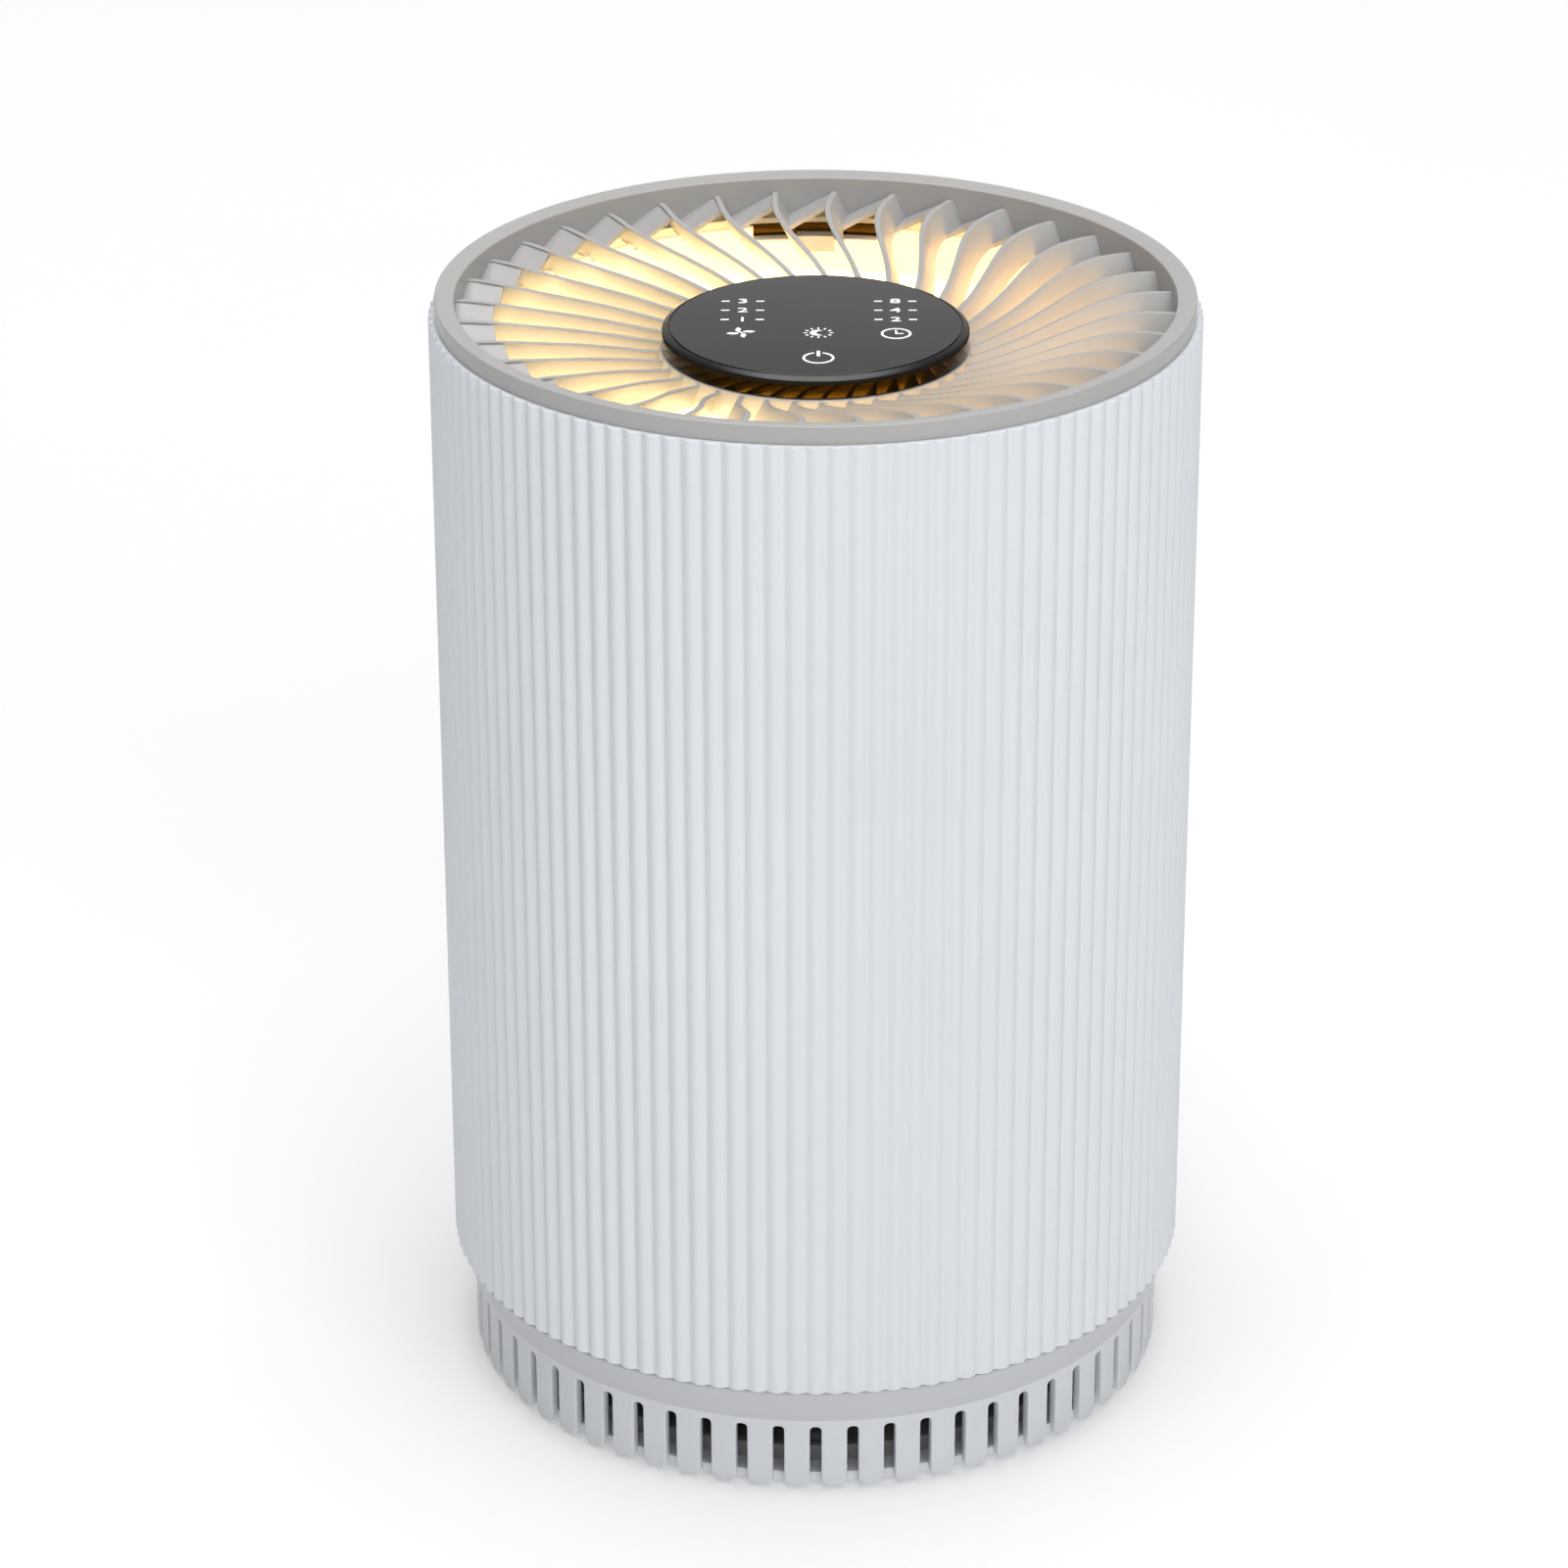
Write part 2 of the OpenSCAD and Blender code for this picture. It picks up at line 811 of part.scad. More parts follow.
// Impeller and rotor
module impeller() {
    color([0.88, 0.89, 0.9]) {
        disc(cup_z - 2.5, cup_z, hub_r);
        tube(cup_z - eps, back_top, cup_r, hub_r);
        tube(back_low, back_top, hub_r - eps, impeller_r);
        tube(blade_low - 2, blade_low, mouth_r + 2.6, impeller_r);
        around(blades)
            intersection() {
                tube(blade_low - eps, back_low + eps, blade_in, impeller_r - 0.4);
                translate(blade_centre)
                    tube(blade_low - 1, back_low + 1, blade_bend - blade_t / 2, blade_bend + blade_t / 2);
                translate([0, 0, blade_low - 1]) cube([70, 70, 30]);
            }
    }
}

module rotor_cup() {
    color("silver") {
        tube(cup_z, cup_z + 1.5, shaft_r, cup_r);
        tube(cup_z, cup_top, cup_r_in, cup_r);
    }
}

module rotor_magnets() {
    color([0.3, 0.3, 0.32]) tube(magnet_low, magnet_top, magnet_in, cup_r_in);
}

module motor_shaft() {
    color("silver") disc(cup_z, pod_floor + 2, shaft_r);
}

module shaft_clip() {
    color([0.4, 0.4, 0.42])
        difference() {
            tube(pod_floor + 0.4, pod_floor + 1.2, shaft_r, 3.5);
            block(1, 5, 1.6, pod_floor, pod_floor + 2);
        }
}

base_skirt();
base_floor();
base_screws();
foot_pads();
filter_bottom_cap();
filter_media();
carbon_sleeve();
prefilter_net();
filter_top_cap();
filter_seal();
outer_shell();
inner_housing();
dc_inlet();
power_lead();
fan_deck();
deck_screws();
fan_guard();
guard_screws();
fan_duct();
motor_bracket();
bracket_screws();
lower_bearing();
upper_bearing();
motor_stator();
motor_windings();
motor_board();
board_parts();
board_screws();
motor_cover();
cover_screws();
light_reflector();
led_strip();
leds();
light_diffuser();
liner_clip();
top_grille();
panel_housing();
panel_trim();
touch_panel();
control_board();
touch_pads();
indicator_leds();
panel_cable();
impeller();
rotor_cup();
rotor_magnets();
motor_shaft();
shaft_clip();
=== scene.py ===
"""Looks of a round desktop air purifier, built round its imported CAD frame."""

import json
import math

import bmesh
import bpy
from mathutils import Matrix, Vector

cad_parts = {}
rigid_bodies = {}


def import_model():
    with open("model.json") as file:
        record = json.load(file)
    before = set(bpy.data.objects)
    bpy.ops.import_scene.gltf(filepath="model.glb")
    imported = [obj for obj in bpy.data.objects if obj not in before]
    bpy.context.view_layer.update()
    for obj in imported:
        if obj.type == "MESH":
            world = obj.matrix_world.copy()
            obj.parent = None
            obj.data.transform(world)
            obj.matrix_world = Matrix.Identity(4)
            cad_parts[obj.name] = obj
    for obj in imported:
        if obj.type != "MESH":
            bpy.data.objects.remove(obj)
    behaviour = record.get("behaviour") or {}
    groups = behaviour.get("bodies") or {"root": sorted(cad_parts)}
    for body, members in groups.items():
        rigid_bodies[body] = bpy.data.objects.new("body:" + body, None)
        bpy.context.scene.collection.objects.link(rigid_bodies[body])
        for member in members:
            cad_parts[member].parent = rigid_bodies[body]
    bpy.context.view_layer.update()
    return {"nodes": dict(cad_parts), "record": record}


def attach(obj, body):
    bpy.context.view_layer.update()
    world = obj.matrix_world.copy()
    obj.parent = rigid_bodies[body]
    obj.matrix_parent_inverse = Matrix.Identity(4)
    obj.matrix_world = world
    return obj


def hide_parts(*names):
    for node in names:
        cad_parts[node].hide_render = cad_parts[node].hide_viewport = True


MM = 0.001
TURN = 2 * math.pi

for leftover in list(bpy.data.objects):
    bpy.data.objects.remove(leftover)

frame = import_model()
nodes = frame["nodes"]

# ---------------------------------------------------------------- camera

LENS = 126.3
PITCH_DOWN = 24.7
SHIFT_X = -0.0202

camera_data = bpy.data.cameras.new("camera")
camera_data.lens = LENS
camera_data.sensor_width = 36
camera_data.shift_x = SHIFT_X
camera_data.clip_start = 0.05
camera_data.clip_end = 50
camera = bpy.data.objects.new("camera", camera_data)
camera.location = (0, -1.1401, 0.6626)
camera.rotation_euler = (math.radians(90 - PITCH_DOWN), 0, 0)
bpy.context.scene.collection.objects.link(camera)
bpy.context.scene.camera = camera

# ---------------------------------------------------------------- sizes, in millimetres

SHELL_R = 84.96
SHELL_IN = 82.4
SHELL_LOW = 27.5
SHELL_TOP = 253.2
RIBS = 120
RIB_DEPTH = 1.0

RIM_OUT = 83.5
RIM_IN = 79.2
RIM_TOP = 257.4
RIM_DROP = 0.7
WALL_OUT = 82.2
GRILLE_LOW = 247.0

VANES = 36
VANE_TIP = 7
VANE_SWING = (0, 0, 5.5, -6.5, -8.5, -15)
VANE_CREST = (253.5, 254.4, 247.0, 243.6)
VANE_HUB_R = 34.0
VANE_TOP_W = 1.4
VANE_FOOT_W = 1.1
VANE_DEEP = 6.2
VANE_LEAN = math.radians(62)
RAMP_IN = 70.8
RAMP_FALL = 5.5
RAMP_SHARE = 0.78
RAMP_THICK = 1.2

INLET_Z = 45.0
INLET_HOLE_R = 5.6
DRILL_FROM = 79
DRILL_TO = 88
PIN_R = 1.05
FOOT_AT = 68.5
FILTER_R = 67.5
GRIPS = 36
NET_R = 66.2
NET_STRANDS = 180
NET_HOOPS = 54

WINDOW_HALF = 11.3
PANE_LOW = 239.5
PANE_HIGH = 247.3
LIT_LOW = 228.0
LIT_HIGH = 237.0

HUB_R = 33.8
HUB_TOP = 249.4
MARK_THICK = 0.02
DIGIT_SIZE = 3.9
DIGIT_WIDE = 1.35

TEETH = 60
TOOTH_R = 80.4
TOOTH_IN = 75.8
TOOTH_BACK = 78.2
LEDGE_R = 78.6
TOOTH_LOW = 1.0
CREASE_Z = 18.0
SLOT_HALF = 1.3
SLOT_TOP = 16.4

# ---------------------------------------------------------------- materials


def new_material(name):
    """A new material, its node tree and its Principled shader."""
    material = bpy.data.materials.new(name)
    material.use_nodes = True
    tree = material.node_tree
    shader = tree.nodes["Principled BSDF"]
    return material, tree, shader


def add(tree, kind, **values):
    """A node of that kind; each value sets the attribute or the input socket of that name."""
    node = tree.nodes.new(kind)
    for key, value in values.items():
        if hasattr(node, key):
            setattr(node, key, value)
        else:
            node.inputs[key.replace("_", " ")].default_value = value
    return node


def noise(tree, coordinates, scale, detail=2.0, stretch=None):
    """A noise texture in the object's own space; stretch scales its axes."""
    source = coordinates
    if stretch:
        mapping = add(tree, "ShaderNodeMapping")
        mapping.inputs["Scale"].default_value = stretch
        tree.links.new(coordinates, mapping.inputs["Vector"])
        source = mapping.outputs["Vector"]
    texture = add(tree, "ShaderNodeTexNoise", Scale=scale, Detail=detail)
    tree.links.new(source, texture.inputs["Vector"])
    return texture.outputs["Fac"]


def ranged(tree, value, low, high, start=0.3, end=0.7):
    """Value mapped from start..end to low..high."""
    node = add(tree, "ShaderNodeMapRange")
    node.inputs["From Min"].default_value = start
    node.inputs["From Max"].default_value = end
    node.inputs["To Min"].default_value = low
    node.inputs["To Max"].default_value = high
    tree.links.new(value, node.inputs["Value"])
    return node.outputs["Result"]


def mixed(tree, factor, first, second):
    """A colour mix of two plain colours by factor."""
    node = add(tree, "ShaderNodeMix", data_type="RGBA")
    node.inputs[6].default_value = (*first, 1)
    node.inputs[7].default_value = (*second, 1)
    tree.links.new(factor, node.inputs[0])
    return node.outputs[2]


def object_space(tree):
    return add(tree, "ShaderNodeTexCoord").outputs["Object"]


def bumped(tree, shader, height, distance, strength=1.0, before=None):
    """A bump on the shader, distance in metres, on top of an earlier one if given."""
    node = add(tree, "ShaderNodeBump", Strength=strength, Distance=distance)
    tree.links.new(height, node.inputs["Height"])
    if before:
        tree.links.new(before, node.inputs["Normal"])
    tree.links.new(node.outputs["Normal"], shader.inputs["Normal"])
    return node.outputs["Normal"]


def scaled(colour, share):
    return tuple(min(1.0, c * share) for c in colour)


def moulded(
    name,
    colour,
    roughness,
    vary=0.03,
    cloud=35.0,
    grain=2600.0,
    depth=0.006,
    metallic=0.0,
    coat=0.0,
    specular=0.5,
    stretch=None,
    tint=None,
):
    """Moulded or machined stuff: cloudy colour, uneven gloss and a fine grain. Depth is in millimetres."""
    material, tree, shader = new_material(name)
    space = object_space(tree)
    clouds = noise(tree, space, cloud, 3.0)
    warm = tint or scaled(colour, 1 + vary)
    colours = mixed(
        tree, ranged(tree, clouds, 0, 1), scaled(colour, 1 - vary), warm
    )
    tree.links.new(colours, shader.inputs["Base Color"])
    smudge = noise(tree, space, cloud * 4, 4.0)
    tree.links.new(
        ranged(tree, smudge, roughness * 0.85, roughness * 1.15),
        shader.inputs["Roughness"],
    )
    bumped(tree, shader, noise(tree, space, grain, 2.0, stretch), depth * MM)
    shader.inputs["Metallic"].default_value = metallic
    shader.inputs["Coat Weight"].default_value = coat
    shader.inputs["Specular IOR Level"].default_value = specular
    return material


def painted_shade_above(material, low, colour):
    """The same stuff with painted shade above a height in millimetres: a darker colour there stands for
    shade.
    """
    tree = material.node_tree
    shader = tree.nodes["Principled BSDF"]
    axes = add(tree, "ShaderNodeSeparateXYZ")
    tree.links.new(object_space(tree), axes.inputs[0])
    # Painted shade: this mask picks everything above the height, which gets the darker colour.
    above = ranged(tree, axes.outputs["Z"], 0, 1, low * MM, (low + 0.2) * MM)
    both = add(tree, "ShaderNodeMix", data_type="RGBA")
    tree.links.new(above, both.inputs[0])
    tree.links.new(shader.inputs["Base Color"].links[0].from_socket, both.inputs[6])
    both.inputs[7].default_value = (*colour, 1)
    tree.links.new(both.outputs[2], shader.inputs["Base Color"])
    return material


def woven(name, colour, thread, roughness=0.85, depth=0.08, sheen=0.3):
    """Cloth: two crossed wave patterns for warp and weft. Thread is the pitch in millimetres."""
    material, tree, shader = new_material(name)
    space = object_space(tree)
    heights = []
    for direction in ("X", "Z"):
        wave = add(
            tree,
            "ShaderNodeTexWave",
            wave_type="BANDS",
            bands_direction=direction,
            Scale=1000 / thread / TURN / 3.2,
            Distortion=0.6,
            Detail=1.0,
        )
        tree.links.new(space, wave.inputs["Vector"])
        heights.append(wave.outputs["Fac"])
    both = add(tree, "ShaderNodeMath", operation="MULTIPLY")
    tree.links.new(heights[0], both.inputs[0])
    tree.links.new(heights[1], both.inputs[1])
    colours = mixed(tree, both.outputs[0], scaled(colour, 0.6), scaled(colour, 1.1))
    tree.links.new(colours, shader.inputs["Base Color"])
    tree.links.new(
        ranged(tree, noise(tree, space, 180), roughness * 0.9, min(1, roughness * 1.1)),
        shader.inputs["Roughness"],
    )
    bumped(tree, shader, both.outputs[0], depth * MM)
    shader.inputs["Sheen Weight"].default_value = sheen
    return material


def glowing(name, left, right, low, high, base=(0.9, 0.84, 0.7)):
    """A lit diffuser: its colour goes from left to right, and its light fades upward from the LEDs."""
    material, tree, shader = new_material(name)
    space = object_space(tree)
    axes = add(tree, "ShaderNodeSeparateXYZ")
    tree.links.new(space, axes.inputs[0])
    across = ranged(tree, axes.outputs["X"], 0, 1, -0.045, 0.07)
    patches = ranged(tree, noise(tree, space, 30), -0.12, 0.12)
    total = add(tree, "ShaderNodeMath", operation="ADD", use_clamp=True)
    tree.links.new(across, total.inputs[0])
    tree.links.new(patches, total.inputs[1])
    colours = mixed(tree, total.outputs[0], left, right)
    tree.links.new(colours, shader.inputs["Emission Color"])
    skin = mixed(tree, ranged(tree, noise(tree, space, 90), 0, 1), base, scaled(base, 0.94))
    tree.links.new(skin, shader.inputs["Base Color"])
    tree.links.new(
        ranged(tree, noise(tree, space, 250), 0.35, 0.5), shader.inputs["Roughness"]
    )
    bumped(tree, shader, noise(tree, space, 1500), 0.01 * MM)
    fade = ranged(tree, axes.outputs["Z"], low, high, LIT_LOW * MM, LIT_HIGH * MM)
    spots = ranged(tree, noise(tree, space, 45), 0.88, 1.12)
    light = add(tree, "ShaderNodeMath", operation="MULTIPLY")
    tree.links.new(fade, light.inputs[0])
    tree.links.new(spots, light.inputs[1])
    tree.links.new(light.outputs[0], shader.inputs["Emission Strength"])
    return material


def sponge(name, colour):
    """Open-cell foam: round cells of about half a millimetre, each with painted shade in its middle, where
    the bump sinks into a pore.
    """
    material, tree, shader = new_material(name)
    space = object_space(tree)
    cells = add(tree, "ShaderNodeTexVoronoi", Scale=1700.0)
    tree.links.new(space, cells.inputs["Vector"])
    pore_shade_and_depth = ranged(tree, cells.outputs["Distance"], 0, 1, 0.1, 0.6)
    # Painted shade: the colour is darkest in the middle of each cell, the pore's hollow, and the same mask
    # sinks the bump there.
    colours = mixed(tree, pore_shade_and_depth, scaled(colour, 0.4), scaled(colour, 1.5))
    tree.links.new(colours, shader.inputs["Base Color"])
    tree.links.new(
        ranged(tree, noise(tree, space, 300), 0.8, 0.98), shader.inputs["Roughness"]
    )
    bumped(tree, shader, pore_shade_and_depth, 0.15 * MM)
    return material


def honeycomb(name, colour):
    """Carbon-loaded fabric: dark fibres with grains of carbon in small cells."""
    material, tree, shader = new_material(name)
    space = object_space(tree)
    cells = add(tree, "ShaderNodeTexVoronoi", feature="DISTANCE_TO_EDGE", Scale=330.0)
    tree.links.new(space, cells.inputs["Vector"])
    walls = ranged(tree, cells.outputs["Distance"], 1, 0, 0.02, 0.16)
    colours = mixed(tree, walls, colour, scaled(colour, 3.2))
    tree.links.new(colours, shader.inputs["Base Color"])
    tree.links.new(
        ranged(tree, noise(tree, space, 2200), 0.5, 0.9), shader.inputs["Roughness"]
    )
    first = bumped(tree, shader, walls, 0.2 * MM)
    bumped(tree, shader, noise(tree, space, 2600), 0.05 * MM, before=first)
    return material


def circuit(name, colour):
    """A circuit board: solder mask with darker and lighter copper runs under it."""
    material, tree, shader = new_material(name)
    space = object_space(tree)
    runs = add(
        tree,
        "ShaderNodeTexBrick",
        offset=0.4,
        Scale=160.0,
        Mortar_Size=0.035,
        Color1=(*scaled(colour, 1.6), 1),
        Color2=(*colour, 1),
        Mortar=(*scaled(colour, 0.5), 1),
    )
    tree.links.new(space, runs.inputs["Vector"])
    tree.links.new(runs.outputs["Color"], shader.inputs["Base Color"])
    tree.links.new(
        ranged(tree, noise(tree, space, 120), 0.25, 0.45), shader.inputs["Roughness"]
    )
    bumped(tree, shader, runs.outputs["Fac"], 0.03 * MM)
    return material


def mark_material(name, colour, strength):
    """Back-lit print: bright, with the slight unevenness of light through ink."""
    material, tree, shader = new_material(name)
    space = object_space(tree)
    colours = mixed(tree, noise(tree, space, 700), scaled(colour, 0.92), colour)
    tree.links.new(colours, shader.inputs["Base Color"])
    tree.links.new(colours, shader.inputs["Emission Color"])
    tree.links.new(
        ranged(tree, noise(tree, space, 900), 0.3, 0.45), shader.inputs["Roughness"]
    )
    shader.inputs["Emission Strength"].default_value = strength
    return material


SLOTS = {
    "shell_white": moulded(
        "shell_white", (0.78, 0.808, 0.85), 0.42, vary=0.012, cloud=14, depth=0.004
    ),
    # Painted shade: above the crease at 18 mm, where the base's band faces down and out, the colour is darker
    # to stand for its shade.
    "base_white": painted_shade_above(
        moulded("base_white", (0.725, 0.748, 0.778), 0.45, vary=0.015, cloud=18, depth=0.005),
        18.0,
        (0.57, 0.585, 0.61),
    ),
    "grille_grey": moulded(
        "grille_grey", (0.46, 0.455, 0.45), 0.36, vary=0.03, cloud=25, depth=0.004
    ),
    "inner_white": moulded("inner_white", (0.74, 0.74, 0.73), 0.5, vary=0.03),
    "inner_grey": moulded("inner_grey", (0.30, 0.30, 0.30), 0.5, vary=0.06),
    "black_plastic": moulded("black_plastic", (0.014, 0.014, 0.015), 0.32, vary=0.2),
    "panel_black": moulded(
        "panel_black", (0.012, 0.012, 0.013), 0.08, vary=0.2, grain=300, depth=0.0008
    ),
    "smoked_trim": moulded(
        "smoked_trim",
        (0.019, 0.0105, 0.0015),
        0.07,
        vary=0.1,
        metallic=1.0,
        grain=400,
        depth=0.001,
    ),
    "rubber_foot": moulded(
        "rubber_foot", (0.035, 0.035, 0.036), 0.75, vary=0.25, grain=1500, depth=0.03
    ),
    "foam": sponge("foam", (0.05, 0.05, 0.055)),
    "filter_paper": woven("filter_paper", (0.86, 0.86, 0.83), 0.9, 0.9, 0.03),
    "carbon_fabric": honeycomb("carbon_fabric", (0.012, 0.012, 0.012)),
    "net_fabric": moulded(
        "net_fabric", (0.66, 0.70, 0.74), 0.5, vary=0.06, grain=5000, depth=0.01
    ),
    "filter_cap": moulded("filter_cap", (0.64, 0.67, 0.70), 0.5, vary=0.03),
    "zinc_steel": moulded(
        "zinc_steel",
        (0.60, 0.60, 0.61),
        0.3,
        vary=0.12,
        cloud=300,
        metallic=1.0,
        tint=(0.66, 0.63, 0.52),
    ),
    "motor_steel": moulded(
        "motor_steel",
        (0.36, 0.36, 0.38),
        0.32,
        vary=0.1,
        metallic=1.0,
        stretch=(1, 1, 14),
    ),
    "magnet": moulded("magnet", (0.05, 0.05, 0.055), 0.6, vary=0.3, depth=0.02),
    "copper_wire": moulded(
        "copper_wire",
        (0.72, 0.32, 0.12),
        0.28,
        vary=0.15,
        metallic=1.0,
        grain=1100,
        depth=0.12,
        stretch=(1, 1, 0.15),
    ),
    "circuit_board": circuit("circuit_board", (0.012, 0.10, 0.04)),
    "cable_black": moulded(
        "cable_black", (0.02, 0.02, 0.02), 0.5, vary=0.3, grain=900, depth=0.02
    ),
    "reflector_white": moulded("reflector_white", (0.88, 0.87, 0.84), 0.35, vary=0.02),
    "led_warm": mark_material("led_warm", (1.0, 0.78, 0.42), 2.0),
    "diffuser": glowing("diffuser", (1.0, 0.74, 0.36), (1.0, 0.59, 0.24), 9.6, 0.55),
    "led_white": mark_material("led_white", (0.95, 0.95, 0.95), 0.8),
}

for row_material in frame["record"]["materials"]:
    if row_material["slot"] not in SLOTS:
        raise SystemExit("no finish for slot " + row_material["slot"])

for node in nodes.values():
    node_slots = [m.name.split(".")[0] for m in node.data.materials]
    for index, slot_name in enumerate(node_slots):
        node.data.materials[index] = SLOTS[slot_name]

# ---------------------------------------------------------------- mesh helpers


def piece(name, points, faces, body, slot, stands_for=(), sharp=38, merge=True):
    """A mesh from points in millimetres, riding on a body, with its finish and the nodes it stands for."""
    mesh = bpy.data.meshes.new(name)
    mesh.from_pydata([Vector(p) * MM for p in points], [], faces)
    clean = bmesh.new()
    clean.from_mesh(mesh)
    if merge:
        bmesh.ops.remove_doubles(clean, verts=clean.verts, dist=0.0006 * MM)
        bmesh.ops.dissolve_degenerate(clean, edges=clean.edges, dist=0.0002 * MM)
    loose = [v for v in clean.verts if not v.link_faces]
    bmesh.ops.delete(clean, geom=loose, context="VERTS")
    bmesh.ops.recalc_face_normals(clean, faces=clean.faces)
    clean.to_mesh(mesh)
    clean.free()
    mesh.shade_smooth()
    mesh.set_sharp_from_angle(angle=math.radians(sharp))
    mesh.materials.append(SLOTS[slot])
    made = bpy.data.objects.new(name, mesh)
    bpy.context.scene.collection.objects.link(made)
    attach(made, body)
    if stands_for:
        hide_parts(*stands_for)
    return made


def rounded(corners, steps=4, closed=True):
    """(x, y) points of a path whose corners (x, y, radius) are rounded."""
    count = len(corners)
    path = []
    for i, (x, y, radius) in enumerate(corners):
        at_end = not closed and i in (0, count - 1)
        if radius <= 0 or at_end:
            path.append((x, y))
            continue
        here = Vector((x, y))
        back = Vector(corners[i - 1][:2]) - here
        ahead = Vector(corners[(i + 1) % count][:2]) - here
        half = back.angle(ahead) / 2
        reach = min(radius / math.tan(half), back.length * 0.49, ahead.length * 0.49)
        radius = reach * math.tan(half)
        middle = here + (back.normalized() + ahead.normalized()).normalized() * (
            radius / math.sin(half)
        )
        start = here + back.normalized() * reach - middle
        end = here + ahead.normalized() * reach - middle
        sweep = start.angle_signed(end)
        for k in range(steps + 1):
            turned = -sweep * k / steps
            path.append(
                (
                    middle.x + start.x * math.cos(turned) - start.y * math.sin(turned),
                    middle.y + start.x * math.sin(turned) + start.y * math.cos(turned),
                )
            )
    return path


def around(radius, angle, z):
    return (radius * math.cos(angle), radius * math.sin(angle), z)


def looped(rings, closed_path=True, closed_ring=True):
    """Quads that join a list of equal rings of point numbers into a skin."""
    faces = []
    pairs = len(rings) if closed_path else len(rings) - 1
    for i in range(pairs):
        first, second = rings[i], rings[(i + 1) % len(rings)]
        edges = len(first) if closed_ring else len(first) - 1
        for j in range(edges):
            k = (j + 1) % len(first)
            faces.append((first[j], first[k], second[k], second[j]))
    return faces


class Build:
    """Collects the points and faces of one piece."""

    def __init__(self):
        self.points = []
        self.faces = []

    def ring(self, points):
        start = len(self.points)
        self.points.extend(points)
        return list(range(start, len(self.points)))

    def revolve(self, corners, steps=96, start=0.0, sweep=360.0, fillet_steps=4, place=None):
        """A closed profile of (r, z, fillet) corners turned about the upright axis, then put in its place."""
        place = place or tuple
        path = rounded(corners, fillet_steps)
        whole = sweep >= 360
        count = steps if whole else steps + 1
        rings = [
            self.ring(
                [
                    place(around(r, math.radians(start + sweep * i / steps), z))
                    for r, z in path
                ]
            )
            for i in range(count)
        ]
        self.faces += looped(rings, closed_path=whole)
        if not whole:
            self.faces += [tuple(rings[0]), tuple(reversed(rings[-1]))]

    def loft(self, loops, capped=True):
        """A skin through equal closed loops of points, with its ends closed."""
        rings = [self.ring(loop) for loop in loops]
        self.faces += looped(rings, closed_path=False)
        if capped:
            self.faces += [tuple(rings[0]), tuple(reversed(rings[-1]))]

    def piece(self, name, body, slot, stands_for=(), **more):
        return piece(name, self.points, self.faces, body, slot, stands_for, **more)


def revolved(name, corners, body, slot, stands_for=(), steps=128, **more):
    build = Build()
    build.revolve(corners, steps)
    return build.piece(name, body, slot, stands_for, **more)


# ---------------------------------------------------------------- fluted shell


def rib_height(angle):
    """0 in the valley between two ribs, 1 on the crest of one."""
    soft = 0.22
    wave = math.cos(RIBS * angle / 2)
    return (math.sqrt(wave * wave + soft * soft) - soft) / (
        math.sqrt(1 + soft * soft) - soft
    )


def on_rear(point):
    """A point given as (left, up, out) about the power inlet's axis, which runs along +Y."""
    x, y, out = point
    return (x, out, INLET_Z + y)


def drilled(made, corners, steps=64):
    """Cuts a turned shape about the power inlet's axis out of a piece."""
    build = Build()
    build.revolve(corners, steps, place=on_rear)
    mesh = bpy.data.meshes.new("drill")
    mesh.from_pydata([Vector(p) * MM for p in build.points], [], build.faces)
    tidy = bmesh.new()
    tidy.from_mesh(mesh)
    bmesh.ops.remove_doubles(tidy, verts=tidy.verts, dist=0.0006 * MM)
    bmesh.ops.recalc_face_normals(tidy, faces=tidy.faces)
    tidy.to_mesh(mesh)
    tidy.free()
    drill = bpy.data.objects.new("drill", mesh)
    bpy.context.scene.collection.objects.link(drill)
    cut = made.modifiers.new("cut", "BOOLEAN")
    cut.object = drill
    cut.operation = "DIFFERENCE"
    cut.solver = "EXACT"
    solid = bpy.data.meshes.new_from_object(
        made.evaluated_get(bpy.context.evaluated_depsgraph_get())
    )
    made.modifiers.remove(cut)
    made.data = solid
    bpy.data.objects.remove(drill)


def fluted_shell():
    samples = 14
    edge = 0.5
    outer = rounded(
        [
            (SHELL_IN, SHELL_LOW, 0),
            (SHELL_R, SHELL_LOW, edge),
            (SHELL_R, INLET_Z - INLET_HOLE_R, 0),
            (SHELL_R, INLET_Z + INLET_HOLE_R, 0),
            (SHELL_R, SHELL_TOP, edge),
            (SHELL_IN, SHELL_TOP, 0),
        ],
        5,
        closed=False,
    )
    build = Build()
    rings = []
    for i in range(RIBS * samples):
        angle = TURN * i / (RIBS * samples)
        height = rib_height(angle)
        ring = []
        for r, z in outer:
            share = (r - SHELL_IN) / (SHELL_R - SHELL_IN)
            ring.append(around(r - RIB_DEPTH * (1 - height) * share, angle, z))
        rings.append(build.ring(ring))
    build.faces = looped(rings)
    shell = build.piece("ribbed_shell", "casing", "shell_white", ["outer_shell"], sharp=50)
    drilled(
        shell,
        [
            (0, DRILL_FROM, 0),
            (INLET_HOLE_R, DRILL_FROM, 0),
            (INLET_HOLE_R, DRILL_TO, 0),
            (0, DRILL_TO, 0),
        ],
    )
    return shell


fluted_shell()

# ---------------------------------------------------------------- power inlet


